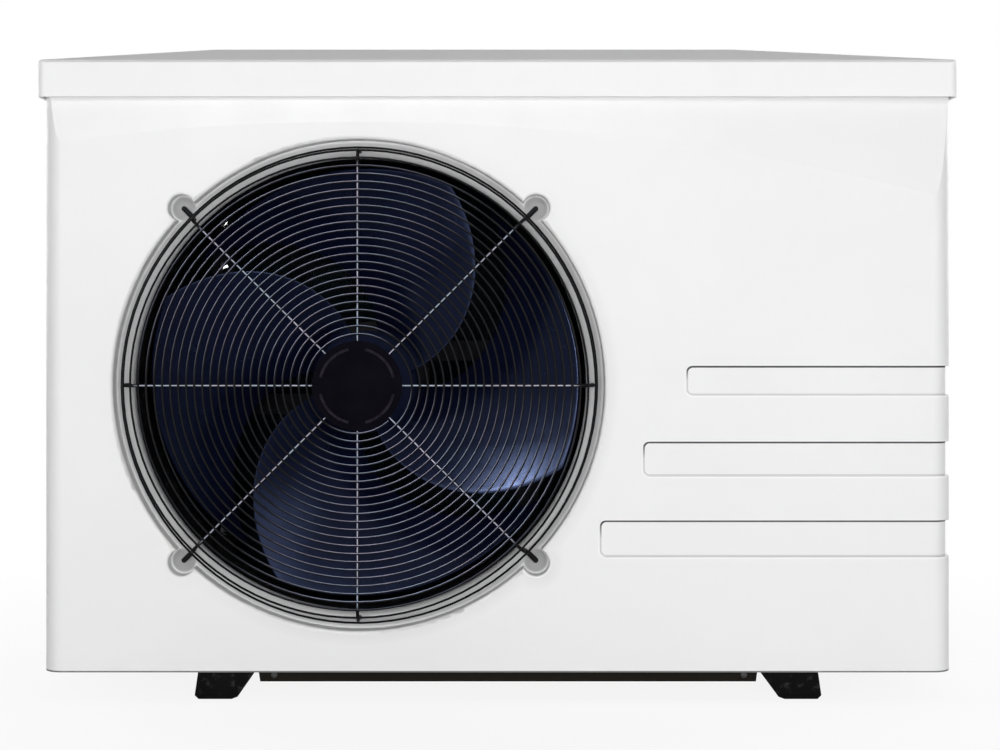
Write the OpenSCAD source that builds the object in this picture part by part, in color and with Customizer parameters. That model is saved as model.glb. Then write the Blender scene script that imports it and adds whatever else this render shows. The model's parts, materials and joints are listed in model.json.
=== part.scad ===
// Pool heat pump unit: a moulded front with a spiral wire grille over a four-bladed fan, a hipped lid,
// an L-shaped finned evaporator on the left and rear, and a compressor compartment on the right.
// X runs to the right, Y to the rear, Z up. The origin lies on the floor, in the middle of the overall box.

/* [Casing] */
// Width of the casing below the lid
body_w = 951; // [930:1:1000]
// Depth of the casing below the lid
body_d = 383; // [375:1:420]
// Height of the casing wall that shows, from the base pan to the lid
body_h = 601; // [590:1:640]
// Wall of the moulded parts: front panel, lid and guards
wall = 3; // [2.5:0.1:3.5]
// Thickness of the sheet metal
sheet = 1.5; // [1:0.1:2]
// Radius of the front panel's upright edges
edge_r = 20; // [14:1:24]
// Depth of the front panel's side returns
panel_wrap = 46; // [42:1:60]
// How far the walls reach up inside the lid
lid_tuck = 15; // [10:1:20]
// Width of the flange along the top of each wall
top_flange = 20; // [16:1:26]

/* [Lid] */
// Overhang of the lid beyond the casing on every side
lid_overhang = 4.5; // [4:0.5:8]
// Height of the lid's upright skirt
lid_h = 38.6; // [34:0.2:46]
// Rise of the crown above the skirt
crown_h = 16; // [12:1:24]
// Setback of the crown's flat top from the front and rear edges
crown_setback = 40; // [30:1:60]
// Length of the crown's slope at the left end
crown_left = 181; // [120:1:220]
// Length of the crown's slope at the right end
crown_right = 229; // [120:1:260]
// Bevel along the lid's top edge
lid_bevel = 3; // [2:0.5:5]
// Radius of the lid's upright corners
lid_corner_r = 8; // [5:1:14]

/* [Front panel] */
// Distance of the fan axis to the left of the casing's middle
fan_offset = 145; // [140:1:160]
// Height of the fan axis above the base pan
fan_rise = 300; // [290:0.5:310]
// Radius of the recess round the grille
recess_r = 257; // [254:1:262]
// Depth of the recess floor behind the front face
recess_depth = 20; // [16:1:24]
// Radius of the rounded lip round the recess
lip_r = 4; // [3:0.5:5]
// Width of the floor ring between the recess and the fan opening
mouth_ring = 18; // [15:1:20]
// Radius of the rolled edge of the fan opening
mouth_roll = 8; // [6:1:10]
// Length of the short tube behind the rolled edge
mouth_tube = 5; // [3:1:8]
// Distance of the four ears' middles outside the recess
ear_out = 5; // [3:1:9]
// Radius of each ear
ear_r = 14; // [12:1:16]
// Radius of the rounded lip round each ear
ear_lip_r = 3; // [2:0.2:3.6]
// Radius of the arched crease across the top of the panel
brow_r = 2400; // [2000:50:3000]
// Height of the crease's highest point below the lid
brow_drop = 26; // [22:1:32]
// Lean of the panel above the crease, in degrees
brow_lean = 5; // [3:0.5:6]
// Depth of the three grooves
groove_depth = 3.5; // [2.5:0.5:4.5]
// Height of the lower groove's bottom edge above the base pan
groove_rise = 120.4; // [110:0.4:130]
// Height of each groove, from the lowest up
groove_h = [38.1, 36, 30.8]; // [26:0.1:42]
// Step from the lower edge of one groove to the next
groove_step = 84.4; // [80:0.2:90]
// Left end of the lowest groove, to the right of the casing's middle
groove_x = 107; // [105:1:140]
// How much further right each higher groove starts
groove_shift = 45.2; // [30:0.2:60]
// Radius of the grooves' corners
groove_r = 5; // [3:1:8]

/* [Grille] */
// Diameter of the spiral wire
wire_d = 2.3; // [1.8:0.1:2.6]
// Diameter of the spokes
spoke_d = 3.5; // [3:0.1:4.5]
// Step of the spiral from one turn to the next
wire_pitch = 8.3; // [7.5:0.1:10]
// How far the grille's face stands in front of the panel
grille_out = 19; // [14:1:24]
// Gap between the recess and the middle of the outer wire
spiral_gap = 9; // [7:0.5:11]
// Step of the spiral over the first turn, on the side of the basket
rim_step = 2; // [1:0.5:4]
// Bend radius of the spokes at the shoulder of the basket
spoke_bend = 14; // [10:1:18]
// Diameter of the disc in the middle of the grille
hub_disc_d = 93; // [84:1:100]
// Thickness of the disc's plate
hub_disc_t = 3; // [2:0.5:4]

/* [Fan] */
// Gap between the blade tips and the opening's tube
tip_gap = 4; // [3:0.5:8]
// Distance from the front face back to the trailing edges
blade_setback = 74; // [70:1:80]
// Depth of a blade along the axis at its tip
blade_depth_tip = 92; // [80:1:96]
// Depth of a blade along the axis at its root
blade_depth_root = 62; // [50:1:70]
// Angle that a blade covers at its tip
blade_span_tip = 78; // [70:1:82]
// Angle that a blade covers at its root
blade_span_root = 64; // [56:1:70]
// Thickness of a blade, along the axis
blade_t = 4; // [3:0.5:5]
// Radius of the fan's hub
hub_r = 56; // [50:1:60]
// Number of blades
blades = 4; // [3:1:4]
// Diameter of the motor shaft
shaft_d = 12; // [10:1:14]
// Diameter of the motor
motor_d = 132; // [120:1:140]
// Length of the motor
motor_len = 74; // [60:1:78]
// Half the distance between the motor bracket's two rails
rail_half = 180; // [160:1:190]

/* [Evaporator] */
// Thickness of the finned coil
coil_t = 40; // [34:1:44]
// Gap between the coil and the guards
coil_gap = 8; // [6:1:12]
// Step from fin to fin
fin_pitch = 10; // [8:1:14]
// Width of the slot between two fins
fin_slot = 5; // [4:0.5:6]
// Step between the tubes
tube_pitch = 25; // [24:1:30]
// Diameter of the coil's tubes
tube_d = 9.5; // [8:0.5:10]

/* [Refrigerant circuit] */
// Diameter of the compressor
compressor_d = 124; // [110:1:130]
// Height of the compressor's shell
compressor_h = 285; // [260:1:295]
// Diameter of the suction accumulator
accumulator_d = 52; // [44:1:56]
// Height of the suction accumulator
accumulator_h = 190; // [170:1:200]
// Height of the rubber grommets under the compressor
grommet_h = 14; // [10:1:18]
// Diameter of the water heat exchanger
exchanger_d = 124; // [110:1:130]
// Height of the water heat exchanger with its caps
exchanger_h = 390; // [360:1:396]
// Diameter of the copper pipes
pipe_d = 12.7; // [9.5:0.1:14]
// Bend radius of the copper pipes
pipe_bend = 18; // [16:1:20]

/* [Water connections] */
// Diameter of the water pipes that the unions take
water_d = 50; // [48:0.1:51]
// Wall of the water pipes inside the casing
water_wall = 4; // [3:0.5:5]
// Depth of the sockets in the union tails
socket_len = 28; // [24:1:34]
// Height of the lower connection above the base pan
inlet_rise = 100; // [90:1:120]
// Height of the upper connection above the base pan
outlet_rise = 310; // [280:1:320]

/* [Base] */
// Height of the feet
foot_h = 29; // [26:1:40]
// Width of a foot's sole
sole_w = 44.9; // [40:0.1:50]
// Spread of a foot's inner side from the sole to the pan
foot_flare = 16.7; // [12:0.1:20]
// Lean of a foot's outer side from the sole to the pan
foot_lean = 4.1; // [2:0.1:6]
// Distance of the soles' middles from the casing's ends, before the feet's offset
foot_from_end = 169.8; // [155:0.2:185]
// Distance of the feet's middle to the right of the casing's middle
foot_mid = 11; // [0:1:16]
// Distance between the two anchor holes of a foot
anchor_pitch = 300; // [260:1:320]
// Diameter of the anchor holes
anchor_d = 10; // [8:0.5:12]
// Height of the upturned rim of the base pan
pan_rim = 24; // [20:1:30]
// Distance from the middle of a sole to the end of the stiffening bar under the front edge
bar_from_sole = 44.7; // [40:0.1:60]
// Height of the stiffening bar
bar_h = 10.4; // [8:0.2:14]

/* [Keypad and gauge] */
// Length of the keypad on the right side
keypad_w = 120; // [112:1:130]
// Height of the keypad
keypad_h = 78; // [70:1:84]
// Diameter of the keypad's buttons
button_d = 13; // [11:0.5:14]
// Travel of the buttons
button_travel = 1.2; // [0.8:0.1:1.6]
// Diameter of the pressure gauge's case
gauge_d = 52; // [46:1:56]

/* [Hidden] */
$fn = 48;

// Clearance between pieces that nest
fit = 0.3;
// Radial clearance of a turning shaft
running_fit = 0.05;
// Overrun of cutting shapes
eps = 1;

// Reach of the grille in front of the casing and of the union tails behind it
hub_bead = 1.5;
front_reach = grille_out + wire_d / 2 + hub_disc_t + hub_bead;
union_start = 6;
collar_t = 6;
gasket_t = 2;
rear_reach = union_start + collar_t + gasket_t + collar_t + socket_len;

// Faces of the casing
y_mid = (front_reach - rear_reach) / 2;
x_half = body_w / 2;
y_front = y_mid - body_d / 2;
y_rear = y_mid + body_d / 2;
z_pan = foot_h;
z_lid = foot_h + body_h;
z_top = z_lid + lid_tuck;
x_in = x_half - wall;
y_front_in = y_front + wall;
y_rear_in = y_rear - wall;
y_return = y_front + panel_wrap;
post_leg = 40;
foot_pitch = body_w - 2 * foot_from_end;
bar_len = foot_pitch - 2 * bar_from_sole;

// Fan frame and compartment wall
mouth_r = recess_r - mouth_ring;
ear_at = recess_r + ear_out;
ear_angle = 45;
spiral_r = recess_r - spiral_gap;
fan_x = -fan_offset;
fan_z = z_pan + fan_rise;
partition_gap = 16;
partition_x = fan_x + recess_r + partition_gap;
room_x = partition_x + sheet;
pan_floor = z_pan + sheet;

// Sizes of the lid
lid_x = x_half + lid_overhang;
lid_front = y_front - lid_overhang;
lid_rear = y_rear + lid_overhang;
z_edge = z_lid + lid_h;
z_crown = z_edge + crown_h;

// Grille: the wire lies on the outside of the spokes
wire_r = wire_d / 2;
spoke_r = spoke_d / 2;
weld_gap = 0.05;
weld_reach = wire_r + spoke_r + weld_gap;
spoke_wall_r = spiral_r - weld_reach;
shoulder_r = spoke_wall_r - spoke_bend;
shoulder_out = spoke_bend + weld_reach;
y_face = y_front - grille_out;
y_floor = y_front + recess_depth;
y_spoke = y_face + weld_reach;
basket = y_floor - y_face - wire_r - fit;
face_half_turns = floor(2 * (spiral_r - hub_disc_d / 2 - wire_d) / wire_pitch);
washer_r = 30;
washer_t = 5;
spoke_root = 2;
spoke_pad_w = 5.4;
spoke_pad_t = 2.6;
spoke_pad_len = 11;
toe_bend = 5;

// Fan and motor along the axis
tip_r = mouth_r - tip_gap;
y_blade = y_front + blade_setback;
hub_sink = 6;
hub_front = y_blade + hub_sink;
hub_tail = 10;
hub_back = y_blade + blade_depth_root + hub_tail;
motor_gap = 16;
motor_front = y_blade + blade_depth_tip + motor_gap;
motor_back = motor_front + motor_len;
motor_r = motor_d / 2;
shaft_r = shaft_d / 2;
shaft_in_motor = 40;
nut_t = 9;
nose_t = 3;
shaft_nose = hub_front - nut_t - nose_t;
lug_reach = 12;
lug_angle = 24;
lug_t = 5;
lug_z = (motor_r + lug_reach) * sin(lug_angle);
lug_x = (motor_r + lug_reach) * cos(lug_angle);
rail_t = 2;
rail_w = 26;
rail_lip = 12;
rail_drop = 40;
rail_top = z_lid - rail_drop;
strap_h = 24;
screw_r = 2.5;
screw_hole_r = 2.7;

// Coil
coil_y1 = y_rear_in - coil_gap;
coil_y0 = coil_y1 - coil_t;
coil_mid = coil_y0 + coil_t / 2;
coil_x0 = -x_in + coil_gap;
bend_room = 3;
coil_x1 = partition_x - bend_room - tube_pitch / 2 - tube_d / 2 - sheet;
coil_inset = 24;
coil_front = y_return + coil_inset;
coil_z0 = pan_floor;
coil_drop = 16;
coil_z1 = z_lid - coil_drop;
coil_corner = 30;
fin_notch = 9;
tube_row = pipe_d / 2 + tube_d / 2 + 1;
bends = floor((coil_z1 - coil_z0 - tube_pitch) / (2 * tube_pitch));

// Compressor compartment
comp_r = compressor_d / 2;
comp_gap = 28;
comp_x = room_x + comp_gap + comp_r;
comp_forward = 62;
comp_y = y_mid - comp_forward;
comp_z0 = pan_floor + grommet_h;
comp_foot_t = 3;
comp_z1 = comp_z0 + comp_foot_t + compressor_h;
comp_foot_r = 18;
comp_stud_out = 16;
comp_stud_r = comp_r + comp_stud_out;
grommet_r = 11;
grommet_flange = 4;
stud_r = 4;
stud_out = 12;
stud_nut_t = 7;
acc_r = accumulator_d / 2;
acc_gap = 8;
acc_x = comp_x + comp_r + acc_gap + acc_r;
acc_forward = 12;
acc_y = comp_y - acc_forward;
acc_lift = 40;
acc_z0 = comp_z0 + acc_lift;
acc_z1 = acc_z0 + accumulator_h;
ex_r = exchanger_d / 2;
ex_side_gap = 14;
ex_rear_gap = 66;
ex_x = x_in - ex_side_gap - ex_r;
ex_y = y_rear_in - ex_rear_gap - ex_r;
ex_z0 = pan_floor;
ex_z1 = ex_z0 + exchanger_h;
ex_cap = 26;
ex_skin = 4;
port_r = water_d / 2 + 3;
port_out = 10;
port_y = ex_y + ex_r + port_out;
stub_out = 8;
z_inlet = z_pan + inlet_rise;
z_outlet = z_pan + outlet_rise;
pipe_r = pipe_d / 2;

// Valves
valve_x = comp_x;
valve_back = 148;
valve_y = comp_y + valve_back;
valve_lift = 66;
valve_z = comp_z1 + valve_lift;
valve_r = 14;
valve_len = 100;
valve_stub = 12;
valve_port = 26;
valve_sleeve = 1.5;
exp_gap = 30;
exp_x = room_x + exp_gap;
exp_y = ex_y;
exp_lift = 200;
exp_z = pan_floor + exp_lift;
exp_body_h = 42;
exp_r = 11;
exp_coil_r = 18;
exp_coil_h = 28;

// Electrical box under the lid
box_side_gap = 24;
box_front_gap = 60;
box_rear_gap = 100;
box_top_gap = 10;
box_h = 140;
box_x0 = room_x;
box_x1 = x_in - box_side_gap;
box_y0 = y_front + box_front_gap;
box_y1 = y_rear - box_rear_gap;
box_z1 = z_top - wall - box_top_gap;
box_z0 = box_z1 - box_h;
cover_lip = 14;

// Unions along the Y axis
water_r = water_d / 2;
collar_w = 8;
collar_r = water_r + collar_w;
nut_wall = 9;
nut_r = collar_r + nut_wall;
y_collar = y_rear + union_start;
y_gasket = y_collar + collar_t;
y_tail = y_gasket + gasket_t;
y_socket = y_tail + collar_t;

// Keypad on the right side, gauge and glands on the rear
side_face = x_in + sheet;
keypad_back_set = 20;
keypad_y = y_mid + keypad_back_set;
keypad_drop = 120;
keypad_z = z_lid - keypad_drop;
keypad_flange = 1.2;
keypad_rim = 8;
keypad_recess = 3;
keypad_plate = 2;
keypad_floor = 4;
button_proud = 1;
button_flange = 1.2;
button_gap = 0.1;
button_rim = 1.5;
button_pitch = 26;
button_row = -19.5;
display_w = 72;
display_h = 22;
display_rise = 6.5;
display_rim = 2;
gauge_r = gauge_d / 2;
gauge_in = 130;
gauge_x = room_x + gauge_in;
gauge_lift = 60;
gauge_z = z_outlet + gauge_lift;
gauge_depth = 20;
gauge_bezel = 5;
gauge_brim = 5;
gauge_pin_r = 1.5;
rear_face = y_rear_in + sheet;
gland_in = 40;
gland_x = x_in - gland_in;
gland_rise = 20;
gland_z = box_z0 + gland_rise;
gland_step = 42;
gland_tail = 10;
gland_hex_t = 7;
gland_cone = 13;
gland_bore = 6;
gland_thread = 10;
gland_hex = 14;

// A block between two corners
module block(low, high) {
    translate(low)
        cube(high - low);
}

// A rod of the given radius along a list of points, with one bend radius for each point in between
function unit(v) = v / norm(v);
module placed(o, ex, ey) {
    ez = cross(ex, ey);
    multmatrix([[ex[0], ey[0], ez[0], o[0]], [ex[1], ey[1], ez[1], o[1]], [ex[2], ey[2], ez[2], o[2]]])
        children();
}
function side_of(d) = abs(d[2]) < 0.9 ? unit(cross(d, [0, 0, 1])) : [1, 0, 0];
function turn(a, b) = acos(max(-1, min(1, a * b)));
module bent_rod(points, r, bend) {
    last = len(points) - 1;
    way = [for (i = [0:last - 1]) unit(points[i + 1] - points[i])];
    trim = [for (i = [0:last]) i == 0 || i == last ? 0 : bend[i - 1] * tan(turn(way[i - 1], way[i]) / 2)];
    for (i = [0:last - 1]) {
        start = points[i] + way[i] * trim[i];
        run = norm(points[i + 1] - points[i]) - trim[i] - trim[i + 1];
        x = side_of(way[i]);
        placed(start, x, cross(way[i], x))
            cylinder(r = r, h = run);
    }
    for (i = [1:1:last - 1]) {
        inward = unit(way[i] - way[i - 1] * (way[i] * way[i - 1]));
        placed(points[i] - way[i - 1] * trim[i] + inward * bend[i - 1], -inward, way[i - 1])
            rotate_extrude(angle = turn(way[i - 1], way[i]))
                translate([bend[i - 1], 0])
                    circle(r = r);
    }
}

// Frames on the fan axis: seen from the front with Z outwards, or with Z into the casing
module fan_view() {
    translate([fan_x, 0, fan_z])
        rotate([90, 0, 0])
            children();
}
module fan_inward(y) {
    translate([fan_x, y, fan_z])
        rotate([-90, 0, 0])
            children();
}
// A cylinder along +Y
module y_cylinder(x, y, z, r, h) {
    translate([x, y, z])
        rotate([-90, 0, 0])
            cylinder(r = r, h = h);
}

// Front panel: the casing's front, inset by a given distance from its outside
module front_plan(inset) {
    translate([-x_half + edge_r, y_front + inset])
        square([2 * (x_half - edge_r), panel_wrap - inset]);
    translate([-x_half + inset, y_front + edge_r])
        square([2 * (x_half - inset), panel_wrap - edge_r]);
    for (side = [-1, 1])
        translate([side * (x_half - edge_r), y_front + edge_r])
            circle(r = edge_r - inset);
}
module brow_cone(inset) {
    depth = panel_wrap + eps;
    translate([fan_x, y_front + inset, z_lid - brow_drop - brow_r])
        rotate([-90, 0, 0])
            cylinder(r1 = brow_r, r2 = brow_r + depth / tan(brow_lean), h = depth, $fn = 360);
}
module front_block(inset, low, high) {
    intersection() {
        translate([0, 0, low])
            linear_extrude(high - low)
                front_plan(inset);
        brow_cone(inset);
    }
}
module groove_outline(grow) {
    for (i = [0:len(groove_h) - 1]) {
        left = groove_x + i * groove_shift - grow;
        low = z_pan + groove_rise + i * groove_step - grow;
        high = low + groove_h[i] + 2 * grow;
        r = groove_r + grow;
        translate([left + r, low])
            square([x_half - left - r + eps, high - low]);
        translate([left, low + r])
            square([r + eps, high - low - 2 * r]);
        for (z = [low + r, high - r])
            translate([left + r, z])
                circle(r = r);
    }
}
groove_end = 10;
module groove_band(grow, inset, end) {
    difference() {
        translate([0, y_front + panel_wrap - end, 0])
            rotate([90, 0, 0])
                linear_extrude(panel_wrap - end + eps)
                    groove_outline(grow);
        front_block(inset, z_pan - eps, z_top + eps);
    }
}
module recess_section() {
    translate([0, -eps])
        square([recess_r, recess_depth + eps]);
    difference() {
        translate([recess_r - eps, -eps])
            square([lip_r + eps, lip_r + eps]);
        translate([recess_r + lip_r, lip_r])
            circle(r = lip_r);
    }
    square([mouth_r, recess_depth + mouth_roll + mouth_tube + eps]);
    difference() {
        translate([mouth_r - eps, recess_depth - eps])
            square([mouth_roll + eps, mouth_roll + eps]);
        translate([mouth_r + mouth_roll, recess_depth + mouth_roll])
            circle(r = mouth_roll);
    }
}
module cup_section() {
    square([recess_r + wall, recess_depth + wall]);
    square([mouth_r + wall, recess_depth + mouth_roll + mouth_tube]);
}
ear_step = 0.2;
module at_ears() {
    for (a = [ear_angle:90:360])
        rotate(a)
            translate([ear_at, 0])
                children();
}
module front_panel() {
    color("white")
        difference() {
            union() {
                difference() {
                    front_block(0, z_pan, z_top);
                    difference() {
                        front_block(wall, z_pan - eps, z_top - wall);
                        groove_band(wall, wall + groove_depth, groove_end - wall);
                    }
                }
                fan_inward(y_front)
                    rotate_extrude($fn = 180)
                        cup_section();
                fan_inward(y_front)
                    at_ears()
                        cylinder(r = ear_r + wall, h = recess_depth + wall);
            }
            groove_band(0, groove_depth, groove_end);
            fan_inward(y_front)
                rotate_extrude($fn = 180)
                    recess_section();
            fan_inward(y_front)
                at_ears()
                    rotate_extrude()
                        ear_section();
        }
}
module ear_section() {
    translate([0, -eps])
        square([ear_r, recess_depth - ear_step + eps]);
    difference() {
        translate([ear_r - eps, -eps])
            square([ear_lip_r + eps, ear_lip_r + eps]);
        translate([ear_r + ear_lip_r, ear_lip_r])
            circle(r = ear_lip_r);
    }
}

// Lid: a hip formed by a long and a cross profile, hollow, with a locating rib that sits on the walls
module lid_hip(inset, low) {
    x = lid_x - inset;
    front = lid_front + inset;
    rear = lid_rear - inset;
    edge = z_edge - inset;
    crown = z_crown - inset;
    bevel = lid_bevel;
    intersection() {
        translate([0, rear + eps, 0])
            rotate([90, 0, 0])
                linear_extrude(rear - front + 2 * eps)
                    polygon([[-x, low], [x, low], [x, edge - bevel], [x - bevel, edge],
                        [lid_x - crown_right, crown], [crown_left - lid_x, crown],
                        [bevel - x, edge], [-x, edge - bevel]]);
        translate([-x - eps, 0, 0])
            rotate([90, 0, 90])
                linear_extrude(2 * x + 2 * eps)
                    polygon([[front, low], [rear, low], [rear, edge - bevel], [rear - bevel, edge],
                        [lid_rear - crown_setback, crown], [lid_front + crown_setback, crown],
                        [front + bevel, edge], [front, edge - bevel]]);
        translate([0, 0, low - eps])
            linear_extrude(crown - low + 2 * eps)
                lid_plan(inset);
    }
}
module lid_plan(inset) {
    r = lid_corner_r;
    translate([-lid_x + r, lid_front + inset])
        square([2 * (lid_x - r), lid_rear - lid_front - 2 * inset]);
    translate([-lid_x + inset, lid_front + r])
        square([2 * (lid_x - inset), lid_rear - lid_front - 2 * r]);
    for (x = [-lid_x + r, lid_x - r])
        for (y = [lid_front + r, lid_rear - r])
            translate([x, y])
                circle(r = r - inset);
}
rib_in = top_flange / 2;
module rib_block(inset, low) {
    block([inset - x_half, y_front + inset, low], [x_half - inset, y_rear - inset, z_crown + eps]);
}
module top_cover() {
    color("white")
        difference() {
            lid_hip(0, z_lid);
            difference() {
                lid_hip(wall, z_lid - eps);
                difference() {
                    rib_block(rib_in, z_top);
                    rib_block(rib_in + wall, z_top - eps);
                }
            }
        }
}

// Sheet metal panels with a flange along the top
module right_panel() {
    color("white")
        difference() {
            union() {
                block([x_in, y_return + fit, z_pan], [side_face, rear_face, z_top]);
                block([x_half - top_flange, y_return + fit, z_top - sheet],
                    [side_face, y_rear_in - top_flange, z_top]);
            }
            block([x_in - eps, keypad_y - keypad_w / 2, keypad_z - keypad_h / 2],
                [side_face + eps, keypad_y + keypad_w / 2, keypad_z + keypad_h / 2]);
        }
}
module rear_panel() {
    color("white")
        difference() {
            union() {
                block([partition_x, y_rear_in, z_pan], [x_in, rear_face, z_top]);
                block([partition_x, y_rear - top_flange, z_top - sheet], [x_in, rear_face, z_top]);
            }
            for (z = [z_inlet, z_outlet])
                y_cylinder(ex_x, y_rear_in - eps, z, water_r + fit, wall + eps);
            y_cylinder(gauge_x, y_rear_in - eps, gauge_z, gauge_r + fit, wall + eps);
            for (z = [gland_z, gland_z + gland_step])
                y_cylinder(gland_x, y_rear_in - eps, z, gland_thread + fit, wall + eps);
        }
}

// Moulded guards in front of the coil: a plate pierced by rows of slots, with a flange along the top
slot_h = 9;
slot_step = 14;
mullion = 9;
guard_border = 16;
rear_columns = 4;
left_columns = 2;
module slotted_plate(w, h, columns) {
    cell = (w - 2 * guard_border + mullion) / columns;
    rows = floor((h - 2 * guard_border - lid_tuck - slot_h) / slot_step) + 1;
    difference() {
        square([w, h]);
        for (c = [0:columns - 1])
            for (i = [0:rows - 1])
                translate([guard_border + c * cell, guard_border + i * slot_step])
                    square([cell - mullion, slot_h]);
    }
}
rear_guard_w = partition_x - fit + x_half - post_leg - fit;
left_guard_w = y_rear - post_leg - fit - y_return - fit;
module rear_guard() {
    color("dimgray") {
        translate([-x_half + post_leg + fit, y_rear, z_pan])
            rotate([90, 0, 0])
                linear_extrude(wall)
                    slotted_plate(rear_guard_w, z_top - z_pan, rear_columns);
        block([-x_half + post_leg + fit, y_rear - top_flange, z_top - wall],
            [partition_x - fit, y_rear_in, z_top]);
    }
}
module left_guard() {
    color("dimgray") {
        translate([-x_half, y_return + fit, z_pan])
            rotate([90, 0, 90])
                linear_extrude(wall)
                    slotted_plate(left_guard_w, z_top - z_pan, left_columns);
        block([-x_in, y_return + fit, z_top - wall], [top_flange - x_half, y_rear - post_leg - fit, z_top]);
    }
}
module corner_post() {
    color("white") {
        block([-x_half, y_rear - post_leg, z_pan], [-x_in, y_rear, z_top]);
        block([-x_half, y_rear_in, z_pan], [post_leg - x_half, y_rear, z_top]);
        block([-x_half, y_rear - post_leg, z_top - wall], [post_leg - x_half, y_rear, z_top]);
    }
}

// Base pan with an upturned rim and a drain hole
pan_corner = edge_r + 4;
drain_x = fan_x;
drain_back = 60;
drain_y = y_mid + drain_back;
drain_r = 9;
module pan_plan(inset) {
    r = pan_corner;
    translate([-x_in + r, y_front_in + inset])
        square([2 * (x_in - r), y_rear_in - y_front_in - 2 * inset]);
    translate([-x_in + inset, y_front_in + r])
        square([2 * (x_in - inset), y_rear_in - inset - y_front_in - r]);
    for (side = [-1, 1])
        translate([side * (x_in - r), y_front_in + r])
            circle(r = r - inset);
}
module base_pan() {
    color("gainsboro")
        difference() {
            translate([0, 0, z_pan])
                linear_extrude(pan_rim)
                    pan_plan(0);
            translate([0, 0, pan_floor])
                linear_extrude(pan_rim)
                    pan_plan(sheet);
            translate([drain_x, drain_y, z_pan - eps])
                cylinder(r = drain_r + fit, h = sheet + 2 * eps);
        }
}
spigot_drop = 16;
spigot_wall = 2;
spigot_flange = 5;
module drain_spigot() {
    color("black")
        translate([drain_x, drain_y, 0])
            difference() {
                union() {
                    translate([0, 0, z_pan - spigot_drop])
                        cylinder(r = drain_r, h = spigot_drop + sheet);
                    translate([0, 0, pan_floor])
                        cylinder(r = drain_r + spigot_flange, h = spigot_wall);
                    translate([0, 0, z_pan - spigot_wall])
                        cylinder(r = drain_r + spigot_flange, h = spigot_wall);
                }
                translate([0, 0, z_pan - spigot_drop - eps])
                    cylinder(r = drain_r - spigot_wall, h = spigot_drop + pan_rim);
            }
}

// Moulded feet: a sole that flares up to the pan, sloping at both ends, with blind anchor holes
foot_inset = 2;
foot_end = 4;
sole_round = 4;
anchor_depth = 20;
module foot_block(side) {
    inner = sole_w / 2 + foot_flare;
    outer = sole_w / 2 - foot_lean;
    length = body_d - 2 * foot_inset;
    translate([foot_mid + side * foot_pitch / 2, y_mid, 0])
        mirror([side < 0 ? 0 : 1, 0, 0])
            difference() {
                intersection() {
                    rotate([90, 0, 0])
                        linear_extrude(length, center = true)
                            polygon([[sole_round - sole_w / 2, 0], [sole_w / 2 - sole_round * 1.6, 0],
                                [sole_w / 2, sole_round * 0.6], [inner, foot_h], [-outer, foot_h],
                                [-sole_w / 2, sole_round]]);
                    rotate([90, 0, 90])
                        linear_extrude(4 * sole_w, center = true)
                            polygon([[foot_end - length / 2, 0], [length / 2 - foot_end, 0],
                                [length / 2, foot_h], [-length / 2, foot_h]]);
                }
                for (y = [-anchor_pitch / 2, anchor_pitch / 2])
                    translate([0, y, -eps])
                        cylinder(r = anchor_d / 2, h = anchor_depth + eps);
            }
}
module foot_left() {
    color("#151515")
        foot_block(-1);
}
module foot_right() {
    color("#151515")
        foot_block(1);
}
bar_depth = 34;
bar_inset = 5;
bar_slant = 1.5;
module base_bar() {
    color("#1b1712")
        translate([foot_mid, y_front + bar_inset + bar_depth, z_pan])
            rotate([90, 0, 0])
                linear_extrude(bar_depth)
                    polygon([[bar_slant - bar_len / 2, -bar_h], [bar_len / 2 - bar_slant, -bar_h],
                        [bar_len / 2, 0], [-bar_len / 2, 0]]);
}

// Wall between the fan compartment and the compressor compartment
pipe_room = 2;
module partition() {
    color("silver")
        difference() {
            block([partition_x, y_front_in + groove_depth + fit, pan_floor],
                [room_x, y_rear_in - sheet - fit, z_top - wall - fit]);
            for (z = [evap_pipe_z, feed_pipe_z])
                translate([partition_x - eps, coil_mid, z])
                    rotate([0, 90, 0])
                        cylinder(r = pipe_r + pipe_room, h = sheet + 2 * eps);
            block([partition_x - eps, sink_y0 - fit, sink_z0 - fit],
                [room_x + eps, sink_y1 + fit, sink_z1 + fit]);
        }
}

// Grille: one wire wound as a two-centre spiral, climbing the side of the basket and then lying flat.
// It starts beside the foot of a spoke, and k counts its half turns. The wire is drawn with six sides.
wire_sides = 6;
joint_bead = 0.05;
spiral_start = atan2(spoke_pad_w / 2 + fit, spiral_r) - ear_angle;
function wire_radius(k) = k <= 2
    ? spiral_r + rim_step * (2 - k) / 2
    : spiral_r - wire_pitch * (k - 2) / 2;
function shoulder_drop(r) = r <= shoulder_r
    ? 0
    : shoulder_out - sqrt(max(0, pow(shoulder_out, 2) - pow(r - shoulder_r, 2)));
function wire_drop(k) = k < 2
    ? shoulder_out + (basket - shoulder_out) * (2 - k) / 2
    : shoulder_drop(wire_radius(k));
module grille_spiral() {
    color("#2a2a33")
        fan_view()
            for (k = [0:face_half_turns + 1]) {
                r0 = wire_radius(k);
                r1 = wire_radius(k + 1);
                z0 = -y_face - wire_drop(k);
                z1 = -y_face - wire_drop(k + 1);
                rotate(spiral_start + 180 * k) {
                    translate([(r0 - r1) / 2, 0, (z0 + z1) / 2])
                        rotate([0, atan2(z1 - z0, r0 + r1), 0])
                            rotate_extrude(angle = 180, $fn = 96)
                                translate([norm([r0 + r1, z1 - z0]) / 2, 0])
                                    circle(r = wire_r, $fn = wire_sides);
                    if (z1 > z0)
                        translate([-r1, 0, z1])
                            sphere(r = wire_r + joint_bead, $fn = 16);
                }
            }
}
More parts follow.
